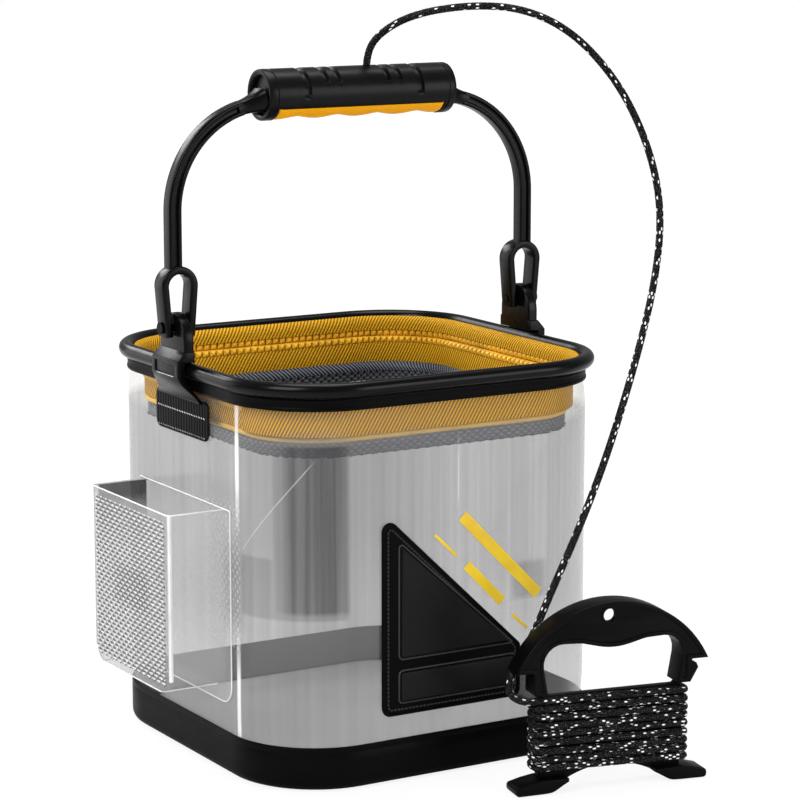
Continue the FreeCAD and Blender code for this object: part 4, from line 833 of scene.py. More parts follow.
APRON_LAP = 2.0
lid_reach = {"start": FOLD, "end": LAP - FOLD}
apron_reach = {"start": -FOLD, "end": FOLD}
collar_profile = [(92.4, 193.6), (93.4, 193.6), (93.6, 197.0), (94.6, 199.4), (96.0, 200.2), (96.0, 201.0),
                  (94.4, 200.6), (93.0, 199.2), (92.3, 196.8)]
ring_piece("collar_cloth", yellow_cloth, collar_profile, UPPER, "collar", closed=True)
ring_piece("lid_band_cloth", yellow_cloth, rectangle(89.8, 91.0, 175.5, 186.8, 0.3), LID, "lid_band",
           closed=True, **lid_reach)
ring_piece("apron_band_cloth", yellow_cloth, rectangle(92.2, 93.4, 175.5, 193.4, 0.3), UPPER, "apron_band",
           closed=True, start=-FOLD - APRON_LAP, end=FOLD + APRON_LAP)
PIPING_PATH, PIPING_LEVEL, PIPING_RADIUS = 89.5, 173.8, 1.5
piping_section = circle(PIPING_PATH, PIPING_LEVEL, PIPING_RADIUS, 14, -90)
for name, body, reach in (("lid_piping", LID, lid_reach), ("apron_piping", UPPER, apron_reach)):
    ring_piece(name + "_cord", orange_piping, piping_section, body, name, closed=True, **reach)

# Zip: two rows of chunky teeth, the upper on the collar and the lower on the lid

TOOTH_PITCH, TOOTH_WIDTH, TOOTH_PEAK = 4.2, 3.3, 0.45
TOOTH_CREST = ((-0.35, -0.3), (0.35, -0.3), (0.35, 0.3), (-0.35, 0.3))


def zip_row(name, low, high, inside, outside, tape_low, body, node, shift, shelf=0.0):
    """A row of teeth on its tape, which may turn in under them as a shelf"""
    tape = rectangle(outside + 0.05, outside + 0.35, tape_low, high + 0.3, 0.1, 1)
    shape = sweep(Shape(), tape, closed=True, **lid_reach)
    if shelf:
        turned = rectangle(outside - shelf, outside + 0.2, low - 1.0, low - 0.4, 0.1, 1)
        sweep(shape, turned, closed=True, **lid_reach)
    start, end = lid_reach["start"], lid_reach["end"]
    count = round((end - start) / TOOTH_PITCH)
    half = TOOTH_WIDTH / 2
    block = ((-half, low), (half, low), (half, high), (-half, high))
    peak = low + (high - low) * TOOTH_PEAK
    for k in range(count):
        middle = start + (k + 0.5) * (end - start) / count + shift
        if not start < middle - half < middle + half < end:
            continue
        rows = []
        for reach in (outside, (outside + inside) / 2):
            rows.append([around(middle + a, reach, z) for a, z in block])
        rows.append([around(middle + a, inside, peak + b) for a, b in TOOTH_CREST])
        shape.ends(rows, shape.grid(rows, wrap_columns=True, flip=True), flip=True)
    return shape.piece(name, zip_yellow, body, node, sharp=20.0)


zip_row("zip_teeth_upper", 190.4, 193.4, 92.2, 94.4, 188.5, UPPER, "zip_row_upper", 0.0, shelf=2.5)
zip_row("zip_teeth_lower", 187.0, 190.0, 89.2, 91.4, 184.6, LID, "zip_row_lower", TOOTH_PITCH / 2)

# Nets: woven yarns, the lid's and the apron's, and their upright skirts

NET_HALF, NET_PITCH, NET_LEVEL = 88.9, 3.1, 165.3
LID_NET_FRONT, APRON_NET_BACK = -53.9, -54.7
YARN, YARN_FLAT, YARN_LIFT = 1.45, 0.3, 0.5
DIAMOND = ((1, 0), (0, 1), (-1, 0), (0, -1))


def net_reach(across):
    """How far the net reaches to each side at a distance from its middle"""
    past = max(0.0, abs(across) - CORE)
    return CORE + math.sqrt(max(0.0, (NET_HALF - CORE) ** 2 - past ** 2))


def yarn(shape, start, end, sideways, phase):
    """One yarn that passes over and under the yarns that cross it"""
    start, end = Vector((*start, NET_LEVEL)), Vector((*end, NET_LEVEL))
    length = (end - start).length
    heading = (end - start).normalized()
    count = max(2, round(3 * length / NET_PITCH))
    rows = []
    crests = []
    for k in range(count + 1):
        place = start + heading * (length * k / count)
        wave = math.cos(math.pi * (place.dot(heading) / NET_PITCH + phase))
        middle = place + Z_AXIS * (YARN_LIFT * wave)
        rows.append([tuple(middle + sideways * (YARN * a) + Z_AXIS * (YARN * YARN_FLAT * b))
                     for a, b in DIAMOND])
        crests.append(wave)
    shape.grid(rows, lambda i, j: (crests[i], j), wrap_columns=True)


def woven(name, y_low, y_high, body, node):
    shape = Shape()
    reach = int(NET_HALF / NET_PITCH)
    for k in range(-reach, reach + 1):
        across = k * NET_PITCH
        half = net_reach(across)
        if y_low <= across <= y_high:
            yarn(shape, (-half, across), (half, across), Y_AXIS, k)
        yarn(shape, (across, max(y_low, -half)), (across, min(y_high, half)), X_AXIS, k + 1)
    return shape.piece(name, net_yarn, body, node, sharp=60.0)


woven("lid_net_woven", LID_NET_FRONT, NET_HALF, LID, "lid_net")
woven("apron_net_woven", -NET_HALF, APRON_NET_BACK, UPPER, "apron_net")

SKIRT_LOW, SKIRT_HIGH, SKIRT_PITCH, SKIRT_ROWS = 165.9, 172.2, 2.4, 4
SKIRT_YARN, SKIRT_FLAT, SKIRT_SWING, SKIRT_LEVEL_YARN = 1.1, 0.3, 0.25, 0.7
HEM_HALF, HEM_LEAN, HEM_LOW, HEM_RISE, HEM_ROWS = 87.5, 1.15, 171.6, 1.2, 4
CREST, DIP, MIDWAY = 0.9, -0.6, 0.25


def skirt(name, start, end, body, node, lean=HEM_LEAN):
    """Upright net: short upright yarns in and out of level ones, with a hem inside the piping"""
    shape = Shape()
    count = round((end - start) / SKIRT_PITCH)
    rise = (SKIRT_HIGH - SKIRT_LOW) / SKIRT_ROWS
    for k in range(count + 1):
        distance = start + (end - start) * k / count
        rows = []
        for i in range(SKIRT_ROWS + 1):
            half = NET_HALF + (SKIRT_SWING if (k + i) % 2 else -SKIRT_SWING)
            rows.append([around(distance + SKIRT_YARN * a, half + SKIRT_FLAT * b, SKIRT_LOW + rise * i)
                         for a, b in DIAMOND])
        shape.grid(rows, lambda i, j: (CREST if (k + i) % 2 else DIP, j), wrap_columns=True, flip=True)
    for i in range(SKIRT_ROWS):
        middle = SKIRT_LOW + rise * (i + 0.5)
        section = [(NET_HALF + SKIRT_FLAT * a, middle + SKIRT_LEVEL_YARN * b) for a, b in DIAMOND]
        sweep(shape, section, start=start, end=end, closed=True, mark=MIDWAY)
    steps = 2 * count
    profile = [(HEM_HALF + lean * max(0, i - 2), HEM_LOW + HEM_RISE * i) for i in range(HEM_ROWS + 1)]
    hem = []
    for k in range(steps + 1):
        hem.append([around(start + (end - start) * k / steps, half, z) for half, z in profile])
    shape.grid(hem, lambda i, j: (CREST if (i + j) % 2 else DIP, j))
    return shape.piece(name, net_yarn, body, node, sharp=60.0)


skirt("lid_skirt_woven", FOLD, LAP - FOLD, LID, "lid_net_skirt")
skirt("apron_skirt_woven", -FOLD, FOLD, UPPER, "apron_net_skirt", lean=2 * HEM_LEAN)

# Brackets and webbing patches, the same on both sides

PIVOT_X, PIVOT_Z, PIVOT_RADIUS = 102.0, 220.5, 2.05
LUG_HALF, LUG_LOW, LUG_TOP = 13.5, 204.2, 228.0
CLIP_IN, CLIP_OUT, CLIP_DEPTH = 99.3, 108.5, 29.0
FLARE_TOP, FLARE_DROP, FLARE_ROWS = 196.6, 11.8, 8
WEB_X, WEB_HALF, WEB_LOW, WEB_HIGH, WEB_THICK = 99.5, 28.5, 166.0, 186.0, 1.4
STITCHES, STITCH_PITCH, STITCH_X, STITCH_SLANT = 20, 2.65, 100.15, 0.45


def side_plate(side, x, outlines, thickness, bevel):
    """A plate parallel to the side wall, drawn in (y, z), its middle at x"""
    return extruded(outlines, thickness, bevel, facing((side * x, 0.0, 0.0), Y_AXIS, Z_AXIS))


def cross_plate(side, outline, depth, bevel):
    """A plate across the side wall, drawn in (x, z)"""
    drawn = [(side * x, z) for x, z in outline]
    return extruded([drawn], depth, bevel, facing((0.0, 0.0, 0.0), X_AXIS, Z_AXIS))


def flare(side):
    """The bracket's lower part: from the cheek down to the wall, widening to both sides"""
    rows = []
    for k in range(FLARE_ROWS + 1):
        share = k / FLARE_ROWS
        ease = share * share * (3 - 2 * share)
        half = 14.5 + 9.5 * share ** 1.6
        outer, inner = 108.6 - 6.9 * ease, 104.6 - 4.4 * ease
        section = rounded_outline([(inner, -half, 0.2), (outer, -half, 0.6), (outer, half, 0.6),
                                   (inner, half, 0.2)], 2)
        rows.append([(side * x, y, FLARE_TOP - FLARE_DROP * share) for x, y in section])
    shape = Shape()
    shape.grid(rows, wrap_columns=True, flip=side > 0)
    shape.ends(rows, flip=side < 0)
    return shape.mesh("flare")


lug_outline = [(-LUG_HALF, LUG_LOW), (LUG_HALF, LUG_LOW)]
lug_outline += arc((0.0, LUG_TOP - LUG_HALF), LUG_HALF, 0, 180, 24)
clip_outline = rounded_outline([(CLIP_IN, 204.1, 0.2), (104.5, 204.1, 0.2), (104.5, 196.2, 0.2),
                                (CLIP_OUT, 196.2, 0.4), (CLIP_OUT, 205.6, 0.5), (104.8, 209.7, 0.5),
                                (CLIP_IN, 209.7, 0.4)], 2)
cheek_frame = [rectangle(-14.4, 14.4, 196.3, 205.2, 0.5), rectangle(-11.0, 11.0, 198.0, 203.4, 0.4)]
slot_line = [rectangle(-9.5, 9.5, 196.9, 197.6, 0.3)]


def webbing(side):
    """A patch of ribbed webbing with a rolled edge and rounded corners"""
    outline = rectangle(-WEB_HALF, WEB_HALF, WEB_LOW, WEB_HIGH, 4.0, 5, top=3.0)
    mesh = side_plate(side, WEB_X, [outline], WEB_THICK, 0.5)
    layer = mesh.uv_layers.new(name="distances")
    for loop in mesh.loops:
        place = mesh.vertices[loop.vertex_index].co / MM
        layer.data[loop.index].uv = (place.y, place.z)
    mesh.uv_layers.active = layer
    layer.active_render = True
    return mesh


def stitches(side):
    """Two rows of white stitches across the webbing"""
    shape = Shape()
    for z, thick in ((177.5, 0.28), (167.6, 0.16)):
        for k in range(STITCHES):
            y = (k - (STITCHES - 1) / 2) * STITCH_PITCH
            rows = []
            for a, size in ((-0.7, 0.4), (-0.5, 1.0), (0.5, 1.0), (0.7, 0.4)):
                level = z + STITCH_SLANT * a
                rows.append([(side * (STITCH_X + thick * size * c), y + a, level + thick * size * s)
                             for c, s in DIAMOND])
            shape.grid(rows, wrap_columns=True, flip=side > 0)
    return shape


for side, name in SIDES:
    bracket_parts = [side_plate(side, PIVOT_X, [lug_outline, circle(0.0, PIVOT_Z, PIVOT_RADIUS)], 5.5, 0.7),
                     cross_plate(side, clip_outline, CLIP_DEPTH, 0.5),
                     side_plate(side, CLIP_OUT + 0.2, cheek_frame, 0.6, 0.2),
                     flare(side)]
    dress("bracket_moulded_" + name, joined(bracket_parts), black_bracket, UPPER, "bracket_" + name, 35.0)
    slot_plate = side_plate(side, CLIP_OUT + 0.25, slot_line, 0.5, 0.15)
    dress("bracket_slot_" + name, slot_plate, white_thread, UPPER)
    dress("webbing_" + name, webbing(side), black_webbing, UPPER, "webbing_patch_" + name)
    stitches(side).piece("webbing_stitches_" + name, white_thread, UPPER)

# Bail: fork loops, bowed arms with a channel in each face, and the grip

ARM_X, ARM_LEVELS = 103.5, (249.0, 256.0, 267.0)
BEND_X, BEND_Z, BEND_RADIUS, BEND_ANGLE, BEND_STEPS = 51.5, 278.0, 52.0, 75.0, 24
ARM_HALF, ARM_DEEP = 3.5, 3.8
ROOT_LENGTH, ROOT_SUNK, ROOT_FLARE, ROOT_ROWS = 15.0, 2.5, 0.85, 8
FORK_THICK, FORK_DEEP = 1.95, 5.0
FORK_LOW, FORK_Z, FORK_LEAN, FORK_STEPS = 216.2, 241.4, -0.08, 5
FORK_REACH, FORK_FOOT = 10.0 - FORK_THICK, 7.9 - FORK_THICK


def arm_line(side):
    """The arm's middle line with its outward and sideways directions"""
    line = [(Vector((side * ARM_X, 0.0, z)), X_AXIS * side, Y_AXIS) for z in ARM_LEVELS]
    for k in range(BEND_STEPS + 1):
        turn = math.radians(BEND_ANGLE * k / BEND_STEPS)
        outward = Vector((side * math.cos(turn), 0.0, math.sin(turn)))
        line.append((Vector((side * BEND_X, 0.0, BEND_Z)) + outward * BEND_RADIUS, outward, Y_AXIS))
    return line


def fork_line(side):
    """The fork's middle line: up one leg, over the loop and down the other"""
    shares = [k / FORK_STEPS for k in range(FORK_STEPS)]
    leg = [(FORK_FOOT + (FORK_REACH - FORK_FOOT) * share, FORK_LOW + (FORK_Z - FORK_LOW) * share)
           for share in shares]
    line = [(Vector((x, 0.0, z)), Vector((1.0, 0.0, FORK_LEAN)).normalized()) for x, z in leg]
    for x, z in arc((0.0, 0.0), 1.0, 0, 180, 20):
        outward = Vector((x, 0.0, z))
        line.append((outward * FORK_REACH + Z_AXIS * FORK_Z, outward))
    line += [(Vector((-x, 0.0, z)), Vector((-1.0, 0.0, FORK_LEAN)).normalized()) for x, z in reversed(leg)]
    return [(X_AXIS * (side * PIVOT_X) + place, outward, Y_AXIS) for place, outward in line]


def arm_root(shape, side):
    """The arm's solid end, which widens into the cup of the grip"""
    place, outward, sideways = arm_line(side)[-1]
    heading = Vector((-outward.z * side, 0.0, abs(outward.x)))
    rows = []
    for k in range(ROOT_ROWS + 1):
        share = k / ROOT_ROWS
        size = 1.0 + ROOT_FLARE * share ** 2.4
        middle = place + heading * (ROOT_LENGTH * share - ROOT_SUNK)
        half, deep = ARM_HALF * size, ARM_DEEP * size
        corners = ((half, -deep), (half, deep), (-half, deep), (-half, -deep))
        section = rounded_outline([(a, b, 2.0 * size) for a, b in corners], 4)
        rows.append([tuple(middle + outward * a + sideways * b) for a, b in section])
    shape.ends(rows, shape.grid(rows, wrap_columns=True, flip=side > 0), side > 0)


channel = [(ARM_HALF, -ARM_DEEP, 0.9), (ARM_HALF, ARM_DEEP, 0.9), (1.5, ARM_DEEP, 0.5), (1.2, 2.1, 0.5),
           (-1.2, 2.1, 0.5), (-1.5, ARM_DEEP, 0.5)]
arm_section = rounded_outline(channel + [(-x, -y, radius) for x, y, radius in channel], 3)
fork_corners = ((FORK_THICK, -FORK_DEEP), (FORK_THICK, FORK_DEEP), (-FORK_THICK, FORK_DEEP),
                (-FORK_THICK, -FORK_DEEP))
fork_section = rounded_outline([(a, b, 0.9) for a, b in fork_corners], 3)
for side, name in SIDES:
    arm = Shape()
    tube(arm, arm_line(side), arm_section, flip=side > 0)
    arm_root(arm, side)
    tube(arm, fork_line(side), fork_section)
    arm.piece("bail_arm_" + name + "_bowed", black_gloss, BAIL, "bail_arm_" + name, sharp=50.0)

GRIP_RADIUS, GRIP_LEVEL, GRIP_SPLIT, GRIP_RINGS = 13.0, 334.23, 327.7, 320
GROOVES, GROOVE_DEPTH = ((33.0, 3.2, 333.3), (21.5, 2.6, 340.0), (14.5, 2.6, 340.0)), 1.7
PAD_HALF, PAD_RADIUS, PAD_TOP, PAD_ROUND, PAD_RINGS = 48.6, 12.75, 327.5, 2.5, 194
FINGER_PITCH, FINGER_DEPTH, FINGER_SOFT = 23.4, 1.9, 0.8
GRIP_END = [(51.4, 0.0), (51.4, 9.3), (53.4, 10.0), (54.2, 10.6), (54.5, 11.3), (54.5, 12.2), (54.2, 12.75),
            (53.5, 13.0), (50.6, 13.0), (50.3, 12.55), (49.7, 12.55), (49.4, 13.0), (PAD_HALF + 0.05, 13.0)]


def groove_depth(x, z):
    """How deep the grip's grooves are at a place along it and up it, from 0 to 1"""
    depth = 0.0
    for middle, width, low in GROOVES:
        inside = min(1.0, max(0.0, (width / 2 + 0.3 - abs(abs(x) - middle)) / 0.6))
        above = min(1.0, max(0.0, (z - low + 0.4) / 0.8))
        depth = max(depth, inside * above)
    return depth


def grip_ring(x, radius, floor):
    """One ring of the grip, no lower than the given level"""
    ring = []
    for a, b in circle(0.0, 0.0, 1.0, 72, -90):
        reach = radius - GROOVE_DEPTH * groove_depth(x, GRIP_LEVEL + radius * b)
        ring.append((x, reach * a, max(floor, GRIP_LEVEL + reach * b)))
    return ring


def pad_ring(x):
    """One ring of the pad: flat on top, hollowed below for the fingers and rounded off at the pad's ends"""
    ends = min(1.0, (PAD_HALF - 0.2 - abs(x)) / PAD_ROUND)
    radius = PAD_RADIUS - 1.2 * (1 - math.sqrt(1 - (1 - ends) ** 2))
    low = GRIP_LEVEL - radius + FINGER_DEPTH * (0.5 - 0.5 * math.cos(2 * math.pi * x / FINGER_PITCH))
    ring = []
    for a, b in arc((0.0, 0.0), radius, -149, -31, 40):
        swell = math.log(1 + math.exp((GRIP_LEVEL + b - low) / FINGER_SOFT))
        ring.append((x, a, min(PAD_TOP, low + FINGER_SOFT * swell - FINGER_SOFT / 2)))
    return ring


grip_rows = [grip_ring(-x, radius, 0.0) for x, radius in GRIP_END]
grip_rows += [grip_ring(-PAD_HALF + 2 * PAD_HALF * k / GRIP_RINGS, GRIP_RADIUS, GRIP_SPLIT)
              for k in range(GRIP_RINGS + 1)]
grip_rows += [grip_ring(x, radius, 0.0) for x, radius in reversed(GRIP_END)]
grip = Shape()
grip.grid(grip_rows, wrap_columns=True, flip=True)
grip.piece("grip_shell_moulded", black_grip, BAIL, "grip_shell")

pad_rows = [pad_ring((PAD_HALF - 0.2) * (2 * k / PAD_RINGS - 1)) for k in range(PAD_RINGS + 1)]
pad = Shape()
pad.grid(pad_rows, wrap_columns=True, flip=True)
pad.ends(pad_rows)
pad.piece("grip_pad_moulded", yellow_rubber, BAIL, "grip_pad", sharp=50.0)

# Winder: a frame with a raised rim round its hand opening, a waist under the rope, and two feet

ARCH_TOP, ARCH_TIP, WINDER_HALF, WINDER_DEPTH = 94.0, 61.5, 51.0, 14.0
LEG_HALF, LEG_LOW, HAND_HALF, HAND_TOP, HAND_LEAN, HAND_DIP = 41.4, 49.8, 37.0, 75.5, 2.5, 4.6
ARCH_RISE = ARCH_TOP - ARCH_TIP
ARCH_RADIUS = (WINDER_HALF ** 2 + ARCH_RISE ** 2) / (2 * ARCH_RISE)
ARCH_CENTRE = ARCH_TOP - ARCH_RADIUS
HOLE_X, HOLE_LEVEL, HOLE_RADIUS = -2.4, 87.5, 3.2
WAIST_HALF, WAIST_DEPTH, WAIST_TOP, WAIST_EAR = 38.0, 6.0, 48.4, 50.5
FOOT_ARCH_RADIUS, FOOT_ARCH_TOP, FOOT_TOP, FOOT_TIP, FOOT_IN = 50.3, 10.7, 6.8, 4.5, 23.0
winder_stand = facing((*WINDER_PLACE, 0.0), WINDER_RIGHT, Z_AXIS)


def winder_frame(inset):
    """Outline of the arch and its legs, drawn a distance inside their edges"""
    radius = ARCH_RADIUS - inset
    tip = ARCH_TIP + inset
    spread = math.degrees(math.acos((tip - ARCH_CENTRE) / radius))
    tip_x = radius * math.sin(math.radians(spread))
    leg, hand, low, top = LEG_HALF - inset, HAND_HALF + inset, LEG_LOW + inset, HAND_TOP + inset
    wide, narrow = hand + HAND_LEAN - 0.5, hand - HAND_LEAN
    barb = [(leg, tip, 0.4)]
    if not inset:
        barb = [(leg + 4.2, tip - 4.4, 0.7), (leg + 3.2, tip - 2.0, 0.5), (leg + 0.8, tip - 2.0, 0.4),
                (leg + 0.8, tip, 0.4)]
    under = rounded_outline([(-tip_x, tip, 0.0), (-leg, tip, 1.0), (-leg, low, 0.6), (-narrow, low, 0.3),
                             (-wide, top, 10.0 + inset), (-17.0, top - 1.0, 14.0),
                             (0.0, top - HAND_DIP - 0.6, 34.0), (17.0, top - 1.0, 14.0),
                             (wide, top, 10.0 + inset), (narrow, low, 0.3), (leg, low, 0.6),
                             *barb, (tip_x, tip, 0.0)], 6)
    return arc((0.0, ARCH_CENTRE), radius, 90 - spread + 1.0, 90 + spread - 1.0, 40) + under


def foot_height(u):
    return FOOT_ARCH_TOP - FOOT_ARCH_RADIUS + math.sqrt(FOOT_ARCH_RADIUS ** 2 - u ** 2)


def foot_outline(side):
    """One foot: flat under its tip, its sole rising smoothly into the arch, its top falling to the tip"""
    sole = []
    for k in range(19):
        u = 42.0 - (42.0 - FOOT_IN) * k / 18
        arch = foot_height(u)
        sole.append((u, (arch + math.sqrt(arch * arch + 2.6)) / 2))
    tip = rounded_outline([(47.0, 0.0, 0.0), (WAIST_HALF - 1.0, FOOT_TOP + 0.4, 0.0), (44.0, 6.0, 4.0),
                           (WINDER_HALF, FOOT_TIP - 0.3, 1.8), (WINDER_HALF, 0.0, 1.8)], 5)
    return [(side * u, z) for u, z in tip[:1] + sole + [(FOOT_IN, FOOT_TOP)] + tip[1:]][::side]


waist_arch = [-28.0 + 56.0 * k / 16 for k in range(17)]
waist_outline = ([(-WAIST_HALF, WAIST_EAR), (-WAIST_HALF, 5.2)]
                 + [(u, foot_height(u) + 0.4) for u in waist_arch]
                 + [(WAIST_HALF, 5.2), (WAIST_HALF, WAIST_EAR), (HAND_HALF, WAIST_EAR),
                    (HAND_HALF - HAND_LEAN, WAIST_TOP), (HAND_LEAN - HAND_HALF, WAIST_TOP),
                    (-HAND_HALF, WAIST_EAR)])
hole = circle(HOLE_X, HOLE_LEVEL, HOLE_RADIUS, 24)
winder_front = winder_stand @ Matrix.Translation((0.0, 0.0, 4.9 * MM))
winder_parts = [
    extruded([winder_frame(0.6), hole], 2.8, 0.5, winder_front),
    extruded([winder_frame(0.0), winder_frame(2.3)], WINDER_DEPTH, 0.7, winder_stand),
    extruded([circle(HOLE_X, HOLE_LEVEL, HOLE_RADIUS + 1.5, 28), hole], 3.6, 0.4, winder_front),
    extruded([waist_outline], WAIST_DEPTH, 1.2, winder_stand),
    extruded([foot_outline(-1)], WINDER_DEPTH, 0.6, winder_stand, 3),
    extruded([foot_outline(1)], WINDER_DEPTH, 0.6, winder_stand, 3),
]
dress("winder_moulded", joined(winder_parts), black_satin, UPPER, "winder", 35.0)

# Side pocket: a clear moulded box on a flange, with painted highlights along its edges and a raised lattice

POCKET_OUT, POCKET_HALF, POCKET_LOW, POCKET_TOP, POCKET_ROUND = 130.0, POCKET_WIDTH / 2, 44.0, 135.5, 9.0
FLANGE_HALF, FLANGE_LOW, FLANGE_X = 50.5, 37.0, 99.2
EDGE, NEAR_EDGE = 0.36, 1.25
LATTICE_HALF, LATTICE_LOW, LATTICE_HIGH = 39.0, 48.5, 131.0


def squashing(piece):
    """Gives a soft piece of the wall a mesh of its own; the piece flattens up to the rim when the bucket is
    folded
    """
    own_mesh(piece)
    return piece


section = rounded_outline([(-FLANGE_X, -POCKET_HALF, 0.0), (-POCKET_OUT, -POCKET_HALF, 2.5),
                           (-POCKET_OUT, POCKET_HALF, 2.5), (-FLANGE_X, POCKET_HALF, 0.0)], 4)
rows = []
for k in range(8):
    turn = math.radians(90 * k / 8)
    narrowed = 1 - POCKET_ROUND * (1 - math.sin(turn)) / POCKET_HALF
    level = POCKET_LOW + POCKET_ROUND * (1 - math.cos(turn))
    rows.append([(x + 0.3, y * narrowed, level) for x, y in section])
for k in range(11):
    level = POCKET_LOW + POCKET_ROUND + (POCKET_TOP - POCKET_LOW - POCKET_ROUND) * k / 10
    rows.append([(x, y, level) for x, y in section])
travel = running(section)
pocket = Shape()
pocket.grid(rows, lambda i, j: (travel[j], rows[i][0][2]))
pocket.cap(range(len(section)))
flange = rectangle(-FLANGE_HALF, FLANGE_HALF, FLANGE_LOW, POCKET_TOP, 9.0, 6, top=1.0)
first = len(pocket.vertices)
pocket.vertices.extend((-FLANGE_X, y, z) for y, z in flange)
pocket.cap(range(first, first + len(flange)))
squashing(pocket.piece("pocket_box", pocket_film, UPPER, "pocket_body"))

# Rods along the pocket's edges, painted light grey as highlights
edges = Shape()
rod(edges, [(x, y, POCKET_TOP - 0.4) for x, y in section], EDGE)
for end, thickness in ((-1, NEAR_EDGE), (1, EDGE)):
    inset = thickness + 0.3
    rod(edges, [(-POCKET_OUT + inset, end * (POCKET_HALF - inset), z)
                for z in (POCKET_LOW + 7.0, 80.0, POCKET_TOP - 0.6)], thickness)
rod(edges, [(x, y, POCKET_LOW + 0.2) for x, y, _ in rows[0]], EDGE)
rod(edges, [(-FLANGE_X - 0.2, y, z) for y, z in flange], EDGE, closed=True)
squashing(edges.piece("pocket_edge_highlights", film_edge_highlight, UPPER))

lattice = Shape()
count = int((LATTICE_HALF + (LATTICE_HIGH - LATTICE_LOW) / (2 * LATTICE_SLOPE)) / LATTICE_PITCH)
for lean, thickness in ((-1, EDGE), (1, 0.6)):
    for k in range(-count, count + 1):
        ends = []
        for z in (LATTICE_LOW, LATTICE_HIGH):
            y = k * LATTICE_PITCH + lean * (z - LATTICE_MIDDLE) / LATTICE_SLOPE
            clipped = max(-LATTICE_HALF, min(LATTICE_HALF, y))
            ends.append((-POCKET_OUT - 0.1, clipped, z + lean * (clipped - y) * LATTICE_SLOPE))
        if ends[1][2] - ends[0][2] >= 2.0:
            rod(lattice, ends, thickness, sides=6)
squashing(lattice.piece("pocket_lattice", lattice_ridge, UPPER, "pocket_net"))

# Front patch: a foam plate with a rolled border, and two raised panels

PATCH_FACE, PATCH_BACK, PANEL_FACE = -100.1, -98.8, -101.1
patch_corners = [(-41.8, 34.0, 5.0), (39.0, 34.0, 4.0), (39.0, 61.4, 3.0), (-41.8, 138.2, 4.6)]
triangle_corners = [(-32.9, 61.9, 3.0), (36.0, 61.9, 1.2), (-32.9, 123.2, 2.0)]
strip_corners = [(-32.9, 39.8, 2.5), (36.0, 39.8, 2.0), (36.0, 57.4, 2.0), (-32.9, 57.4, 3.0)]


def front_plate(corners, back, face, bevel):
    return extruded([rounded_outline(corners, 6)], back - face, bevel,
                    facing((0.0, (back + face) / 2, 0.0), X_AXIS, Z_AXIS), 3)


def border(corners, y, radius):
    """A rolled edge along a closed outline"""
    return rod(Shape(), [(x, y, z) for x, z in rounded_outline(corners, 6)], radius, closed=True)


def dashes(corners, y, length, pitch, radius):
    """Stitches along a closed outline"""
    outline = rounded_outline(corners, 6)
    points = evenly([Vector((x, y, z)) for x, z in outline + outline[:1]], pitch)
    shape = Shape()
    for here, ahead in zip(points, points[1:]):
        rod(shape, [here, here.lerp(ahead, length / pitch)], radius, sides=6)
    return shape


patch_plate = front_plate(patch_corners, PATCH_BACK, PATCH_FACE, 0.5)
squashing(dress("front_patch_foam", patch_plate, black_foam, UPPER, "front_patch", 35.0))
# The stitches and, below, the panels' lips use the painted highlight grey
patch_seam = dashes(drawn_in(patch_corners, 3.3), PATCH_FACE - 0.1, 1.3, 2.1, 0.45)
squashing(patch_seam.piece("front_patch_stitches", lip_highlight, UPPER))
squashing(border(drawn_in(patch_corners, 0.9), PATCH_FACE, 0.6).piece("front_patch_edge", black_foam, UPPER))
for name, corners in (("triangle", triangle_corners), ("strip", strip_corners)):
    panel = front_plate(drawn_in(corners, 1.6), PATCH_FACE + 0.1, PANEL_FACE, 0.7)
    squashing(dress("patch_%s_panel" % name, panel, black_panel, UPPER, "patch_" + name, 35.0))
    lip = border(drawn_in(corners, 0.6), PATCH_FACE - 0.1, 0.5)
    squashing(lip.piece("patch_%s_lip" % name, lip_highlight, UPPER))

# Plain bars printed on the film beside the patch, each from one end to the other in (x, z), with its width

PRINT_FACE = -98.75
BARS = [((-11.0, 122.8), (1.8, 110.6), 1.5), ((34.6, 76.7), (43.7, 68.2), 1.5),
        ((7.5, 105.3), (28.6, 84.0), 5.0), ((5.0, 130.5), (50.0, 85.5), 6.0)]
for number, (start, end, width) in enumerate(BARS):
    along = Vector((end[0] - start[0], 0.0, end[1] - start[1]))
    across = Vector((-along.z, 0.0, along.x))
    half = along.length / 2
    middle = ((start[0] + end[0]) / 2, PRINT_FACE, (start[1] + end[1]) / 2)
    outline = rectangle(-half, half, -width / 2, width / 2, 0.4)
    mesh = extruded([outline], 0.2, 0.05, facing(middle, along, across))
    squashing(dress("print_bar_%d" % (number + 1), mesh, yellow_print, UPPER))
squashing(film_wall)

# Rigid CAD nodes that keep their shape

KEPT = {"rim_rod": steel, "grip_core": black_plastic, "rope_knot": rope_braid,
        "pivot_pin_left": black_plastic, "pivot_pin_right": black_plastic,
        "zip_slider": zip_metal, "zip_pull": zip_metal}
for node, finish in KEPT.items():
    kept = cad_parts[node]
    kept.data.materials.clear()
    kept.data.materials.append(finish.material)

# Studio: a pale floor, a white surround and soft lamps

WHITE = (1.0, 1.0, 1.0, 1.0)


def white_to_sight(nodes, white, lit, share):
    """Mixes plain white into what the camera sees, straight or through film"""
    path = nodes.tree.nodes.new("ShaderNodeLightPath").outputs
    seen = nodes.math("MAXIMUM", path["Is Camera Ray"], path["Is Transmission Ray"])
    return nodes.node("ShaderNodeMixShader", {0: nodes.times(seen, share), 1: lit, 2: white})


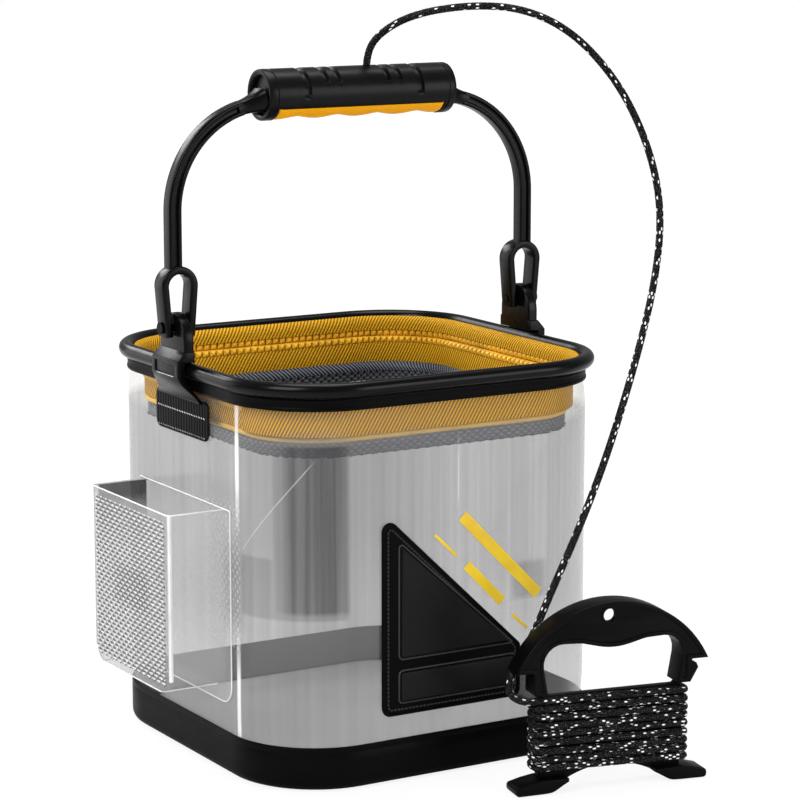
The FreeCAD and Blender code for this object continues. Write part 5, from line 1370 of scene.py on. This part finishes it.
world = bpy.data.worlds.new("studio")
bpy.context.scene.world = world
world.use_nodes = True
sky = Nodes(world.node_tree)
dim = sky.tree.nodes["Background"]
dim.inputs["Color"].default_value = WHITE
dim.inputs["Strength"].default_value = 0.3
bright = sky.node("ShaderNodeBackground", {"Color": WHITE, "Strength": 1.0})
sky.feed(sky.tree.nodes["World Output"].inputs["Surface"], white_to_sight(sky, bright, dim.outputs[0], 1.0))

# The floor shows the shadow near the bucket and turns plain white further away, in millimetres
SHADE_NEAR, SHADE_FAR = 250.0, 800.0
FLOOR_HALF, FLOOR_LEVEL = 6.0, -0.0004
floor_mesh = bpy.data.meshes.new("studio_floor")
floor_signs = ((-1, -1), (1, -1), (1, 1), (-1, 1))
floor_corners = [(x * FLOOR_HALF, y * FLOOR_HALF, FLOOR_LEVEL) for x, y in floor_signs]
floor_mesh.from_pydata(floor_corners, [], [(0, 1, 2, 3)])
floor_object = placed("studio_floor", floor_mesh)
ground = Finish("studio_floor", None, Base_Color=(0.8, 0.8, 0.8, 1.0), Roughness=0.8)
away = ground.node("ShaderNodeVectorMath", {0: ground.place()}, 1, operation="LENGTH")
share = ground.between(ground.step(away, SHADE_NEAR, SHADE_FAR), 0.82, 1.0)
glow = ground.node("ShaderNodeEmission", {"Color": WHITE, "Strength": 1.06})
ground.feed(ground.tree.nodes["Material Output"].inputs["Surface"],
            white_to_sight(ground, glow, ground.shader.outputs[0], share))
floor_mesh.materials.append(ground.material)


def lamp(name, place, aim_level, size, power):
    """A soft lamp that aims at a level above the middle of the base"""
    data = bpy.data.lights.new(name, "AREA")
    data.shape = "RECTANGLE"
    data.size, data.size_y = size
    data.energy = power
    made = placed(name, data)
    made.location = place
    made.rotation_euler = (Vector((0.0, 0.0, aim_level)) - Vector(place)).to_track_quat("-Z", "Y").to_euler()


lamp("key_lamp", (-1.3, -0.6, 1.3), 0.15, (0.9, 0.9), 24.0)
lamp("fill_lamp", (1.1, -1.7, 0.6), 0.2, (1.0, 1.0), 15.0)
lamp("top_lamp", (0.2, 0.2, 1.7), 0.15, (1.0, 1.0), 19.0)
lamp("left_lamp", (-1.1, 1.5, 0.5), 0.12, (1.2, 1.0), 7.0)
lamp("rear_lamp", (-0.35, 1.55, 1.05), 0.2, (0.9, 0.5), 10.0)
